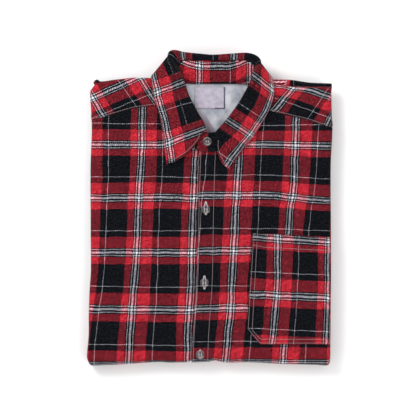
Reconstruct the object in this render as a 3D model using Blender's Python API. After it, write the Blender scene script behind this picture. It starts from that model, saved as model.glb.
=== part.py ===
"""A man's button-front flannel shirt, folded for a shelf and lying flat.

The frame is +X to the shirt's left sleeve, +Y to the collar and +Z up, with the
origin on the surface that the shirt lies on, under the middle of its outline.

How it is folded: both sides and both sleeves are turned behind, and then the tail
is turned up behind. The parcel is an upper and a lower arm joined by the bottom
fold. Each front is one wall that covers the upper arm, turns in at the side fold,
and runs round the bottom fold to the hem on the underside.
"""

import math

import bmesh
import bpy

MM = 0.001  # the sizes below are in millimetres
WELD = 1e-6  # metres: points this close are one

# ---- the cloth and the stack of its layers ----
WALL = 1.3  # one layer of brushed flannel
GAP = 0.3  # between neighbouring pieces
STACK = 24.0  # outer face to outer face of the folded parcel
FOLD_R = 5.2  # outer radius of the side and shoulder folds
BOTTOM_R = STACK / 2  # outer radius of the bottom fold
FLAP = 14.0  # cloth that runs on behind a side fold
TAIL_INSET = 1.5  # the turned-up tail lies inside the outline by this
CROWN = 1.5  # rise of the middle of the parcel above its edges
HALF_WIDTH, HALF_LENGTH = 158.0, 205.0

# ---- the button placket: the left front's edge, turned under ----
PLACKET = 21.2  # width of the turned facing
PLACKET_WALL = 2.1  # two layers, pressed
PLACKET_LIFT = 0.7  # it stands above the face by this, and not on the underside
UNDERLAP_WIDTH = 24.0
BUTTON_LINE = 10.6  # from the placket's edge to the buttons

BUTTON_R, BUTTON_THICK = 5.7, 2.6
BUTTON_HOLE_R, BUTTON_HOLE_OFF = 0.8, 1.35
BUTTON_SPACING = 92.0
TOP_BUTTON_RUNS = (1.6, 97.2, 190.5)  # distance down the placket from y = 0
DIMPLE_FLAT, DIMPLE_R = 9.0, 15.0  # where the tail is pressed up over a button
DIMPLE_LIFT = BUTTON_THICK + 0.9

# ---- the neck ----
LINING_Z = 19.4
# How far the hidden layers sink under the lining, between these x and up from this y.
NECK_DEPTH = 4.3
NECK_HOLLOW_LEFT, NECK_HOLLOW_RIGHT, NECK_HOLLOW_Y = (-73, -58), (77, 62), (56, 68)
LABEL_WALL = 1.0
LABEL_SIZE = (39.0, 26.6)
LABEL_CENTRE = (-1.0, 143.0)
STAND_WALL = 1.6
LEAF_WALL = 2.2
LEAF_ROLL = 2.7  # radius of the leaf's middle surface at its roll

CORE_DEPTH = WALL + 2 * GAP  # from the outer face to the hidden layers
LEAF_SEAM_GAP = 1.2
# About where the side folds and the placket's edge are, for reading the tables.
SIDE_X, PLACKET_X, PLACKET_TAIL_X = 153.0, -20.0, -33.0
SIDES = (("left", -1), ("right", 1))
# Room in the layers behind the placket: in the back's tail, and in the hidden layers.
BACK_CHANNEL, FACE_CHANNEL, TAIL_CHANNEL = 2.6, 2.4, 4.8
HEM_STEP = 1.6  # each layer's hem lies inside the one outside it by this
SLEEVE_THICK = 2.6
SLEEVE_INSET = 3.2
SLEEVE_ENDS = (-176.0, 150.0)


class Table:
    """Rows under named columns, read smoothly between rows by the first column."""

    def __init__(self, names, *rows):
        self.names = names.split()
        self.rows = sorted(rows)

    def read(self, column, key):
        at = self.names.index(column)
        keys = [row[0] for row in self.rows]
        values = [row[at] for row in self.rows]
        last = len(keys) - 1
        key = min(max(key, keys[0]), keys[last])
        i = max(j for j in range(last) if keys[j] <= key)

        def slope(j):
            low, high = max(j - 1, 0), min(j + 1, last)
            return (values[high] - values[low]) / (keys[high] - keys[low])

        span = keys[i + 1] - keys[i]
        t = (key - keys[i]) / span
        return (
            (1 + 2 * t) * (1 - t) ** 2 * values[i]
            + t * (1 - t) ** 2 * span * slope(i)
            + t * t * (3 - 2 * t) * values[i + 1]
            + t * t * (t - 1) * span * slope(i + 1)
        )

    def straight(self, column, key):
        """The same with straight lines between the rows."""
        at = self.names.index(column)
        key = min(max(key, self.rows[0][0]), self.rows[-1][0])
        for low, high in zip(self.rows, self.rows[1:]):
            if key <= high[0]:
                return low[at] + (high[at] - low[at]) * (key - low[0]) / (high[0] - low[0])
        return self.rows[-1][at]

    def point(self, columns, key):
        return tuple(self.read(column, key) for column in columns.split())


# Outline of the upper arm: the side folds along y.
EDGES = Table(
    "y left right",
    (-204, -156.5, 153.5),
    (-195, -159.0, 154.3),
    (-165, -157.3, 155.0),
    (-82, -156.6, 155.9),
    (-27, -156.0, 156.6),
    (55, -154.6, 157.6),
    (102, -153.5, 158.9),
    (130, -154.0, 158.3),
    (152, -155.4, 157.4),
    (162, -151.0, 156.6),
)
BOTTOM = Table(
    "x y",
    (-156, -204.8),
    (-104, -202.3),
    (-46, -199.7),
    (11, -198.4),
    (65, -202.0),
    (154, -203.3),
)
SHOULDER = Table(
    "x y",
    (-156, 159.0),
    (-145, 164.7),
    (-118, 168.0),
    (-98, 170.0),
    (-40, 168.0),
    (50, 168.0),
    (101, 167.4),
    (129, 163.6),
    (157, 161.7),
)
HEM = Table(
    "x y",
    (-158, 110),
    (-110, 130),
    (-60, 138),
    (0, 140),
    (60, 138),
    (110, 130),
    (158, 110),
)
# The seam where each front meets the yoke, and the neckline between, in straight runs.
FRONT_TOP = Table(
    "x y",
    (-153, 114.7),
    (-100, 130.3),
    (-50, 137.0),
    (-36, 99.0),
    (-20, 83.0),
    (-4, 78.0),
    (9, 80.0),
    (32, 97.0),
    (57, 129.0),
    (78, 126.4),
    (126, 115.2),
    (153, 106.0),
)
# The placket's edge, by the distance down the front from y = 0, round the bottom and back.
PLACKET_EDGE = Table(
    "run x",
    (-80, -14.0),
    (-11, -16.4),
    (97, -18.5),
    (171, -23.4),
    (228, -25.0),
    (560, -38.0),
)
LINING_EDGES = Table("y left right", (76, -16, 22), (100, -33, 42), (128, -47, 57), (160, -42, 52))

# The stand, station by station from its under end, round the neck, to its buttoned end.
STAND = Table(
    "station low_x low_y low_z high_x high_y high_z",
    (0, 5, 76, 25.9, 5, 92, 25.9),
    (1, -8, 74, 25.9, -4, 97, 26.0),
    (2, -24, 79, 25.8, -9.0, 110.2, 26.8),
    (3, -38, 94, 25.3, -15.7, 121.4, 27.4),
    (4, -48, 113, 25.1, -22.4, 133.8, 28.2),
    (5, -52, 132, 25.1, -29.1, 147.2, 29.4),
    (6, -49, 148, 25.1, -33.0, 159.5, 30.4),
    (7, -41.5, 159.0, 24.0, -37.0, 172.0, 31.0),
    (8, -33, 161.6, 21.2, -40.5, 184.0, 31.4),
    (9, -22, 161.6, 20.9, -34.0, 191.0, 31.6),
    (10, -8, 161.6, 20.9, -15.0, 191.2, 31.6),
    (11, 4, 161.6, 20.9, 4.0, 191.0, 31.6),
    (12, 16, 161.6, 20.9, 25.0, 191.2, 31.6),
    (13, 32, 161.6, 20.9, 46.0, 191.0, 31.6),
    (14, 43, 161.4, 21.6, 51.0, 185.0, 31.4),
    (15, 50, 159.0, 24.9, 50.8, 173.5, 31.0),
    (16, 58, 146, 25.1, 49.3, 161.0, 30.4),
    (17, 57, 127, 25.6, 44.9, 149.4, 29.8),
    (18, 49, 109, 26.6, 37.1, 136.0, 29.4),
    (19, 37, 93, 27.5, 29.1, 124.8, 29.1),
    (20, 20, 79, 27.8, 19.0, 112.0, 28.7),
    (21, 4, 73.6, 27.8, 7.0, 100.0, 28.1),
    (22, -10, 74.6, 27.8, -8.0, 97.0, 27.8),
    (23, -18, 79.5, 27.8, -17.5, 91.0, 27.8),
)

# The leaf, station by station from one front edge, round the neck, to the other. seam is
# its lower inner edge on the stand, edge its outer edge, heading the way out of the neck
# in degrees from +X, lean how far the collar lies back, strip what shows inside the roll,
# rise how far the middle of the fall stands above the straight way, and bow how far it
# is pushed forwards along the strip.
LEAF = Table(
    "station seam_x seam_y seam_z edge_x edge_y edge_z heading lean strip rise bow",
    (0, -6.6, 101.5, 28.6, -57.0, 56.5, 25.6, 222, 0, 0.4, 2.6, 7.0),
    (1, -9.0, 110.5, 28.4, -59.9, 77.7, 25.6, 215, 0, 1.0, 3.0, 4.0),
    (2, -15.7, 121.4, 28.3, -62.8, 101.3, 25.6, 207, 0, 1.5, 3.4, 0),
    (3, -22.4, 133.8, 28.8, -66.7, 122.5, 25.6, 205, 0, 1.7, 3.6, 0),
    (4, -29.1, 147.2, 29.6, -71.8, 138.2, 25.6, 202, 0, 1.8, 3.6, 0),
    (5, -33.0, 159.5, 30.6, -75.4, 153.0, 25.6, 185, 8, 2.2, 3.2, 0),
    (6, -37.2, 172.5, 31.2, -76.6, 165.5, 25.9, 160, 34, 5.5, 2.6, 0),
    (7, -40.8, 186.0, 31.6, -74.5, 173.0, 20.5, 116, 74, 14.5, 2.0, 0),
    (8, -34.0, 191.5, 31.8, -52.0, 177.0, 9.5, 97, 77, 6.9, -1.0, 0),
    (9, -15.0, 191.6, 31.8, -24.0, 176.0, 8.0, 92, 77, 4.5, -1.5, 0),
    (10, 4.0, 191.4, 31.8, 4.0, 175.5, 8.0, 90, 77, 3.2, -1.5, 0),
    (11, 25.0, 191.6, 31.8, 31.0, 176.0, 8.0, 88, 77, 4.4, -1.5, 0),
    (12, 46.0, 191.5, 31.8, 57.0, 177.0, 9.5, 80, 77, 6.2, -1.0, 0),
    (13, 51.2, 186.0, 31.6, 77.5, 171.8, 20.5, 58, 74, 10.5, 2.0, 0),
    (14, 50.9, 174.0, 31.2, 81.8, 163.0, 25.9, 22, 34, 5.0, 2.6, 0),
    (15, 49.3, 161.0, 30.6, 82.9, 150.0, 25.6, 0, 8, 2.2, 3.2, 0),
    (16, 44.9, 149.4, 30.0, 80.4, 138.5, 25.6, -14, 0, 1.8, 3.6, 0),
    (17, 37.1, 136.0, 29.6, 74.0, 122.0, 25.6, -24, 0, 1.7, 3.6, 0),
    (18, 29.1, 124.8, 29.6, 66.0, 107.0, 25.6, -32, 0, 1.5, 3.4, 0),
    (19, 19.0, 112.0, 29.7, 52.0, 88.0, 25.6, -40, 0, 1.0, 3.0, -1.0),
    (20, 11.0, 103.0, 29.8, 36.0, 67.5, 25.6, -48, 0, 0.7, 2.6, -4.0),
    (21, 6.0, 97.0, 29.8, 23.3, 50.8, 25.6, -58, 0, 0.4, 2.2, -7.0),
)
LEAF_STATIONS, STAND_STATIONS = 21, 23

# The chest pocket: its left edge and its outline's lower corners.
POCKET_LEFT = Table("y x", (-176, 47.4), (-33, 54.9))
POCKET_TOP, POCKET_BOTTOM, POCKET_CUT = -33.6, -176.8, (17.0, 20.5)
POCKET_WRAP = math.radians(42)  # how far it goes round the side fold


def lerp(a, b, t):
    return a + (b - a) * t


def ramp(value, start, end):
    """0 up to start and 1 from end on, straight between them."""
    return min(max((value - start) / (end - start), 0.0), 1.0)


def steps(count):
    return [i / count for i in range(count + 1)]


# ---- placing a point of the folded stack ----


def bottom_tangent(x):
    return BOTTOM.read("y", x) + BOTTOM_R


def down_the_stack(x, run, depth):
    """(y, z) at a depth below the outer face, run along it from y = 0 and round the bottom."""
    tangent = bottom_tangent(x)
    past = run + tangent
    if past <= 0:
        return -run, STACK - depth
    turn = past / BOTTOM_R
    radius = BOTTOM_R - depth
    if turn < math.pi:
        return tangent - radius * math.sin(turn), BOTTOM_R + radius * math.cos(turn)
    return tangent + past - math.pi * BOTTOM_R, depth


def tail_share(x, run):
    """0 on the upper arm, 1 on the lower one."""
    return ramp(run + bottom_tangent(x), 0, math.pi * BOTTOM_R)


def side_tangent(side, x, run):
    """x where the side fold starts to turn."""
    y, _ = down_the_stack(x, run, 0)
    inward = FOLD_R + TAIL_INSET * tail_share(x, run)
    return EDGES.read(side, y) + (inward if side == "left" else -inward)


def placket_x(run):
    return PLACKET_EDGE.read("x", run)


def placket_lift(x, run):
    return PLACKET_LIFT * (1 - tail_share(x, run))


def run_on_tail(x, y):
    return math.pi * BOTTOM_R + y - 2 * bottom_tangent(x)


TAIL_BUTTON_RUNS = tuple(TOP_BUTTON_RUNS[-1] + BUTTON_SPACING * (i + 1) for i in range(2))


def button_place(run):
    x = placket_x(run) + BUTTON_LINE
    return x, down_the_stack(x, run, 0)[0]


def crowned(point):
    """The parcel's middle stands a little above its edges, and the underside stays flat."""
    x, y, z = point
    rise = CROWN * (1 - (x / HALF_WIDTH) ** 2) * (1 - (y / HALF_LENGTH) ** 2)
    return x, y, z + max(rise, 0) * min(z / STACK, 1)


def dimpled(point):
    """The tail's layers are pressed up over the buttons that the shirt lies on."""
    x, y, z = point
    for run in TAIL_BUTTON_RUNS:
        button_x, button_y = button_place(run)
        away = math.hypot(x - button_x, y - button_y)
        lift = DIMPLE_LIFT * (1 - ramp(away, DIMPLE_FLAT, DIMPLE_R))
        z += lift * max(0, 1 - z / 10)
    return x, y, z


# ---- meshes ----


def new_object(name, points, faces, finish):
    mesh = bpy.data.meshes.new(name)
    mesh.from_pydata([tuple(c * MM for c in point) for point in points], [], faces)
    shape = bmesh.new()
    shape.from_mesh(mesh)
    bmesh.ops.remove_doubles(shape, verts=shape.verts, dist=WELD)
    bmesh.ops.recalc_face_normals(shape, faces=shape.faces)
    shape.to_mesh(mesh)
    shape.free()
    mesh.shade_smooth()
    mesh.set_sharp_from_angle(angle=math.radians(50))
    mesh.materials.append(finish)
    placed = bpy.data.objects.new(name, mesh)
    bpy.context.collection.objects.link(placed)
    return placed


def wall(name, outer, inner, finish, ring=False):
    """A closed wall between two grids of points. With ring, each row closes on itself."""
    rows, columns = len(outer), len(outer[0])
    points = [p for grid in (outer, inner) for row in grid for p in row]

    def at(layer, row, column):
        return (layer * rows + row) * columns + column % columns

    faces = []
    for row in range(rows - 1):
        for column in range(columns if ring else columns - 1):
            corners = ((row, column), (row, column + 1), (row + 1, column + 1), (row + 1, column))
            faces.append([at(0, *corner) for corner in corners])
            faces.append([at(1, *corner) for corner in reversed(corners)])
    rim = [((row, column), (row, column + 1)) for row in (0, rows - 1) for column in range(columns - 1)]
    if ring:
        rim += [((row, columns - 1), (row, 0)) for row in (0, rows - 1)]
    else:
        rim += [((row, column), (row + 1, column)) for column in (0, columns - 1) for row in range(rows - 1)]
    faces += [[at(0, *a), at(0, *b), at(1, *b), at(1, *a)] for a, b in rim]
    return new_object(name, points, faces, finish)


def loops_solid(name, loops, finish):
    """A solid through closed loops of points, capped at both ends."""
    count = len(loops[0])
    points = [p for loop in loops for p in loop]
    faces = []
    for low in range(0, (len(loops) - 1) * count, count):
        for i in range(count):
            after = (i + 1) % count
            faces.append([low + i, low + after, low + count + after, low + count + i])
    faces.append(list(range(count)))
    faces.append([(len(loops) - 1) * count + i for i in range(count)])
    return new_object(name, points, faces, finish)


def finish(name, colour, roughness):
    made = bpy.data.materials.new(name)
    made.use_nodes = True
    shader = made.node_tree.nodes["Principled BSDF"]
    shader.inputs["Base Color"].default_value = (*colour, 1)
    shader.inputs["Roughness"].default_value = roughness
    shader.inputs["Metallic"].default_value = 0
    return made


# ---- the fronts ----

FACE_JOIN, TAIL_JOIN = 60.0, 60.0  # y where the even rows of the two arms start


def front_top(x):
    return FRONT_TOP.straight("y", x)


def front_rows():
    """Each row as the run that it has at x: down the face, round the bottom, up to the hem."""
    rows = [lambda x, t=t: -lerp(front_top(x) - GAP / 2, FACE_JOIN, t) for t in steps(3)]
    rows += [lambda x, t=t: -lerp(FACE_JOIN, bottom_tangent(x), t) for t in steps(5)[1:]]
    rows += [lambda x, t=t: math.pi * BOTTOM_R * t - bottom_tangent(x) for t in steps(6)[1:]]
    tail_ys = []
    for run in TAIL_BUTTON_RUNS:
        centre = button_place(run)[1]
        tail_ys += [centre + off for off in (-DIMPLE_R, -8.5, 8.5, DIMPLE_R)]
    tail_ys += [10.0, TAIL_JOIN]
    rows += [lambda x, y=y: run_on_tail(x, y) for y in tail_ys]
    rows += [lambda x, t=t: run_on_tail(x, lerp(TAIL_JOIN, HEM.read("y", x), t)) for t in steps(2)[1:]]
    return rows


def between(side, x, run):
    """Where the column that starts at x on the seam has got to, run along the front."""
    sign = -1 if side == "left" else 1
    start_off = PLACKET + 7 if side == "right" else -6

    def ends(at):
        return placket_x(at) + start_off, side_tangent(side, sign * SIDE_X, at)

    start, tangent = ends(-front_top(x))
    share = (x - start) / (tangent - start)
    return lerp(*ends(run), share)


def front_point(side, column, row, inner):
    """column is (kind, value, layer). value is the mm from the placket's edge, x on the
    seam, the angle round the side fold, or the mm behind it."""
    kind, value, layer = column
    sign = -1 if side == "left" else 1
    table_x = {"near": value + PLACKET_X, "far": value}.get(kind, sign * SIDE_X)
    run = row(table_x)
    inward = (PLACKET_WALL if layer == "placket" else WALL) if inner else 0
    tangent = side_tangent(side, table_x, run)
    if kind == "near":
        x, deep = placket_x(run) + value, inward
        if layer != "plain":
            deep -= placket_lift(table_x, run)
        if layer == "under":
            deep += PLACKET_WALL + GAP
    elif kind == "far":
        x, deep = between(side, value, run), inward
    elif kind == "turn":
        radius = FOLD_R - inward
        x, deep = tangent + sign * radius * math.sin(value), FOLD_R - radius * math.cos(value)
    else:
        x, deep = tangent - sign * value, 2 * FOLD_R - inward
    y, z = down_the_stack(table_x, run, deep)
    return dimpled(crowned((x, y, z)))


def front(name, side, near, seam_xs, finish_used):
    columns = near + [("far", x, "plain") for x in seam_xs]
    columns += [("turn", math.pi * t, "plain") for t in steps(4)]
    columns += [("behind", FLAP, "plain")]
    grids = [
        [[front_point(side, column, row, inner) for column in columns] for row in front_rows()]
        for inner in (False, True)
    ]
    return wall(name, *grids, finish_used)


def front_left(finish_used):
    near = [("near", off, "placket") for off in (0, 4.5, BUTTON_LINE, 16.5, PLACKET)]
    near += [("near", off, "plain") for off in (PLACKET + 2, PLACKET + 7)]
    return front("front_left", "right", near, (32, 57, 78, 126), finish_used)


def front_right(finish_used):
    near = [("near", off, "under") for off in (UNDERLAP_WIDTH, PLACKET, 16.5, BUTTON_LINE, 4.5, 0)]
    near += [("near", -6, "plain")]
    return front("front_right", "left", near, (-36, -50, -100), finish_used)


# ---- the yoke ----

NECK_LEFT, NECK_RIGHT = -46.0, 53.0
YOKE_RETURN = 32.0  # how far the yoke runs on behind the shoulder fold
BAND_START = math.radians(100)  # where it starts on the fold, behind the neck
MITRE = 0.85  # a return's depth over its distance from the corner, so that two stay apart


def shoulder_tangent(x):
    return SHOULDER.read("y", x) - FOLD_R


def fold_over(base_x, base_y, past_x, past_y, back, inward):
    """A point past the fold lines, by way along the cloth in x and y: a pillow's edge."""
    way = max(abs(past_x), past_y)
    if way <= 0:
        return base_x, base_y, STACK - inward
    length = math.hypot(past_x, past_y)
    toward = past_x / length, past_y / length
    turn = min(way / FOLD_R, math.pi)
    reach = (FOLD_R - inward) * math.sin(turn) - back
    depth = FOLD_R - (FOLD_R - inward) * math.cos(turn)
    return base_x + toward[0] * reach, base_y + toward[1] * reach, STACK - depth


def yoke(finish_used):
    half_turn = math.pi * FOLD_R
    flat_xs = [-126.0, -100.0, -74.0, NECK_LEFT - 4, NECK_LEFT, NECK_LEFT + 5, -18.0, 4.0, 26.0]
    flat_xs += [NECK_RIGHT - 5, NECK_RIGHT, NECK_RIGHT + 4, 78.0, 102.0, 126.0]
    columns = [(-1, half_turn + FLAP)] + [(-1, half_turn * (1 - t)) for t in steps(4)]
    columns += [(0, x) for x in flat_xs]
    columns += [(1, half_turn * t) for t in steps(4)] + [(1, half_turn + FLAP)]
    neck_start = BAND_START * FOLD_R
    face_steps, turn_steps, back_steps = 3, 5, 2

    def point(column, part, t, inward):
        side, value = column
        sign = side or (1 if value > 0 else -1)
        x = value if side == 0 else SIDE_X * side
        tangent_y = shoulder_tangent(x)
        in_neck = side == 0 and NECK_LEFT <= value <= NECK_RIGHT
        seam = front_top(x) + GAP / 2
        past_y = half_turn * t if part == "turn" else (half_turn if part == "back" else 0)
        if in_neck:
            first = neck_start * (0.55 if value in (NECK_LEFT, NECK_RIGHT) else 1)
            if part == "face":
                past_y = lerp(first, first + 1.2, t)
            elif part == "turn":
                past_y = lerp(first + 1.2, half_turn, t)
            y = tangent_y
        else:
            y = lerp(seam, tangent_y, t) if part == "face" else tangent_y
        base_x = EDGES.read("left" if sign < 0 else "right", y) - sign * FOLD_R if side else x
        past_x = side * value if side else 0
        room = SIDE_X - 3 - abs(x) if not side else tangent_y - y
        back = 0.0
        if side and value > half_turn and part == "face":
            back = min(FLAP, MITRE * room)
        elif part == "back" and not side:
            back = min(YOKE_RETURN, MITRE * room) * t
        return crowned(fold_over(base_x, y, past_x, past_y, back, inward))

    parts = [("face", t) for t in steps(face_steps)]
    parts += [("turn", t) for t in steps(turn_steps)[1:]]
    parts += [("back", t) for t in steps(back_steps)[1:]]
    grids = [
        [[point(column, part, t, inward) for column in columns] for part, t in parts]
        for inward in (0, WALL)
    ]
    return wall("yoke", *grids, finish_used)


# ---- what lies inside the neck ----


def yoke_lining(finish_used):
    ys = [lerp(76, 162.6, t) for t in steps(6)]
    grids = [
        [
            [crowned((lerp(*LINING_EDGES.point("left right", y), t), y, z)) for t in steps(6)]
            for y in ys
        ]
        for z in (LINING_Z, LINING_Z - WALL)
    ]
    return wall("yoke_lining", *grids, finish_used)


def neck_label(finish_used):
    width, height = LABEL_SIZE
    low = LINING_Z + GAP
    grids = [
        [
            [
                crowned((LABEL_CENTRE[0] + width * (u - 0.5), LABEL_CENTRE[1] + height * (v - 0.5), z))
                for u in steps(4)
            ]
            for v in steps(3)
        ]
        for z in (low + LABEL_WALL, low)
    ]
    return wall("neck_label", *grids, finish_used)


# ---- the collar ----


def cross(a, b):
    return (a[1] * b[2] - a[2] * b[1], a[2] * b[0] - a[0] * b[2], a[0] * b[1] - a[1] * b[0])


def unit(a):
    length = math.sqrt(sum(c * c for c in a))
    return tuple(c / length for c in a)


def less(a, b):
    return tuple(p - q for p, q in zip(a, b))


def plus(a, b, scale=1.0):
    return tuple(p + q * scale for p, q in zip(a, b))


def thickened(grid, thick):
    """Grids half a thickness either side of a middle surface, along its normals."""
    rows, columns = len(grid), len(grid[0])
    sides = [[], []]
    for i in range(rows):
        lines = [[], []]
        for j in range(columns):
            along = less(grid[min(i + 1, rows - 1)][j], grid[max(i - 1, 0)][j])
            over = less(grid[i][min(j + 1, columns - 1)], grid[i][max(j - 1, 0)])
            normal = unit(cross(along, over))
            for line, sign in zip(lines, (0.5, -0.5)):
                line.append(plus(grid[i][j], normal, sign * thick))
        for side, line in zip(sides, lines):
            side.append(line)
    return sides


def collar_stand(finish_used):
    stations = [STAND_STATIONS * t for t in steps(36)]
    middle = [
        [
            tuple(lerp(STAND.read("low_" + c, s), STAND.read("high_" + c, s), t) for c in "xyz")
            for t in steps(3)
        ]
        for s in stations
    ]
    grids = [[[crowned(p) for p in row] for row in grid] for grid in thickened(middle, STAND_WALL)]
    return wall("collar_stand", *grids, finish_used)


def leaf_section(station):
    """The leaf's middle surface at a station: up the strip, over the roll, down the fall."""
    seam = LEAF.point("seam_x seam_y seam_z", station)
    edge = LEAF.point("edge_x edge_y edge_z", station)
    heading = math.radians(LEAF.read("heading", station))
    lean = math.radians(LEAF.read("lean", station))
    level = (math.cos(heading), math.sin(heading), 0)
    up = (level[0] * math.sin(lean), level[1] * math.sin(lean), math.cos(lean))
    out = (level[0] * math.cos(lean), level[1] * math.cos(lean), -math.sin(lean))
    strip = LEAF.read("strip", station)
    centre = plus(plus(seam, up, LEAF_SEAM_GAP + strip), out, LEAF_ROLL)
    seam = plus(seam, up, LEAF_SEAM_GAP)
    section = [seam, plus(seam, up, strip * 0.6)]
    for degrees in (180, 135, 90, 45):
        turn = math.radians(degrees)
        section.append(plus(plus(centre, out, LEAF_ROLL * math.cos(turn)), up, LEAF_ROLL * math.sin(turn)))
    start = plus(centre, out, LEAF_ROLL)
    rise = LEAF.read("rise", station)
    bow = LEAF.read("bow", station)
    sideways = (-level[1], level[0], 0)
    for t in (0.12, 0.3, 0.5, 0.7, 0.86, 1.0):
        hump = 4 * t * (1 - t)
        way = tuple(lerp(a, b, t) for a, b in zip(start, edge))
        section.append(plus(plus(way, (0, 0, 1), rise * hump), sideways, bow * hump))
    return section


def collar_leaf(finish_used):
    stations = [LEAF_STATIONS * t for t in steps(34)]
    grids = thickened([leaf_section(s) for s in stations], LEAF_WALL)
    grids = [[[crowned(p) for p in row] for row in grid] for grid in grids]
    return wall("collar_leaf", *grids, finish_used)


# ---- the pocket ----


def pocket(finish_used):
    cut_x, cut_y = POCKET_CUT

    def point(u, v, lifted):
        y = lerp(POCKET_TOP, POCKET_BOTTOM, v)
        left = POCKET_LEFT.read("x", y)
        tangent = side_tangent("right", 150, -y)
        radius = FOLD_R + lifted
        right = tangent + radius * math.sin(POCKET_WRAP)
        x = lerp(left, right, u)
        corner = max(0, 1 - (x - left) / cut_x) * cut_y
        y = lerp(POCKET_TOP - 4.0 * u, POCKET_BOTTOM + corner, v)
        depth = -lifted
        if x > tangent:
            turn = math.asin(min((x - tangent) / radius, 1))
            depth = FOLD_R - radius * math.cos(turn)
        return crowned((x, y, STACK - depth))

    across = (0, 0.08, 0.16, 0.34, 0.52, 0.7, 0.86, 0.95, 0.98, 1)
    grids = [
        [[point(u, v, lifted) for u in across] for v in steps(8)] for lifted in (0.4 + WALL, 0.4)
    ]
    return wall("pocket", *grids, finish_used)


# ---- what shows of the hidden layers ----


def placket_share(off, clear):
    """1 under the placket, 0 past its edges, by the distance from the placket's edge."""
    return min(ramp(off, -8 - clear, -8), 1 - ramp(off, 27, 27 + clear))


BACK_LOW_Y = 62.0  # where the back's own wall starts on the tail
BACK_OFFS = (-52.0, -13.0, -8.0, 27.0, 32.0, 80.0)  # its columns, from the placket's edge


def back(finish_used):
    """The back's tail: it shows inside the fronts' hem."""

    def point(column, t, inward):
        to_side = column in ("left", "right")
        sign = -1 if column == "left" else 1
        table_x = sign * SIDE_X if to_side else PLACKET_TAIL_X + column
        run = run_on_tail(table_x, lerp(BACK_LOW_Y, HEM.read("y", table_x) - HEM_STEP, t))
        if to_side:
            x, channel = side_tangent(column, table_x, run), 0
        else:
            x, channel = placket_x(run) + column, BACK_CHANNEL * placket_share(column, 5)
        y, z = down_the_stack(table_x, run, WALL + GAP + channel + inward)
        return crowned((x, y, z))

    columns = ("left",) + BACK_OFFS + ("right",)
    grids = [[[point(c, t, inward) for c in columns] for t in steps(4)] for inward in (0, WALL)]
    return wall("back", *grids, finish_used)


def sleeve(name, side, finish_used):
    """A sleeve pressed flat between the arms of the parcel: a tube with both its layers."""
    sign = -1 if side == "left" else 1
    outer_r, inner_r = SLEEVE_THICK / 2, GAP / 2
    inside = sign * (4.0 + outer_r)

    def loop(y, radius):
        fold = EDGES.read(side, y) - sign * (SLEEVE_INSET + outer_r)
        ring = [(lerp(inside, fold, t), radius) for t in (0.25, 0.5, 0.75)]
        for centre, first in ((fold, 90), (inside, 270)):
            turns = [math.radians(first - 60 * i) for i in range(4)]
            ring += [(centre + sign * radius * math.cos(a), radius * math.sin(a)) for a in turns]
            if centre == fold:
                ring += [(lerp(fold, inside, t), -radius) for t in (0.25, 0.5, 0.75)]
        return [crowned((x, y, STACK / 2 + z)) for x, z in ring]

    ys = [lerp(*SLEEVE_ENDS, t) for t in steps(6)]
    grids = [[loop(y, radius) for y in ys] for radius in (outer_r, inner_r)]
    return wall(name, *grids, finish_used, ring=True)


# Columns of the hidden layers, from the placket's edge: they follow its channel and the neck.
CORE_LEAST = 0.7  # their thickness at the shoulder end
CORE_OFFS = (-58, -44, -28, -13, -8, 27, 32, 54, 76, 90)


def core_loop(row, end_turn):
    """The hidden layers' outline across the stack at one row. end_turn rounds off the
    shoulder end."""
    on_tail = tail_share(0, row(0))
    y_face, _ = down_the_stack(0, row(0), 0)
    left, right = (side_tangent(side, sign * SIDE_X, row(sign * SIDE_X)) for side, sign in SIDES)
    edge = placket_x(row(0))
    radius = (FOLD_R - CORE_DEPTH) * math.cos(end_turn)
    middle = [edge + off for off in CORE_OFFS]
    xs = [left] + [lerp(left, middle[0], t) for t in (0.35, 0.7)] + middle
    xs += [lerp(middle[-1], right, 0.5), right]

    def outer_depth(x):
        channel = lerp(FACE_CHANNEL, TAIL_CHANNEL, on_tail) * placket_share(x - edge, 5)
        neck = min(ramp(x, *NECK_HOLLOW_LEFT), ramp(x, *NECK_HOLLOW_RIGHT)) * ramp(y_face, *NECK_HOLLOW_Y)
        neck *= 1 - on_tail
        under_back = (WALL + GAP) * ramp(y_face, BACK_LOW_Y - 8, BACK_LOW_Y - 4) * on_tail
        return min(FOLD_R - radius + max(channel + under_back, NECK_DEPTH * neck), deep - CORE_LEAST)

    deep = FOLD_R + radius
    deeper = 2 * FOLD_R
    if on_tail == 0:
        deeper = lerp(deeper, deep, ramp(y_face, 112, 122))
    turns = [math.pi * t for t in steps(4)[1:-1]]
    table_xs = [-SIDE_X] + xs[1:-1] + [SIDE_X]
    loop = [(table_x, x, outer_depth(x)) for table_x, x in zip(table_xs, xs)]
    loop += [(SIDE_X, right + radius * math.sin(a), FOLD_R - radius * math.cos(a)) for a in turns]
    loop += [(SIDE_X, x, deep) for x in (right, right - FLAP - 0.6)]
    across = [lerp(right - FLAP - 1, left + FLAP + 1, t) for t in steps(6)]
    loop += [(x, x, deeper) for x in across]
    loop += [(-SIDE_X, x, deep) for x in (left + FLAP + 0.6, left)]
    loop += [
        (-SIDE_X, left - radius * math.sin(a), FOLD_R - radius * math.cos(a)) for a in reversed(turns)
    ]
    placed = []
    for table_x, x, depth in loop:
        y, z = down_the_stack(table_x, row(table_x), depth)
        y += (FOLD_R - CORE_DEPTH) * math.sin(end_turn)
        placed.append(crowned((x, y, z)))
    return placed


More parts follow.
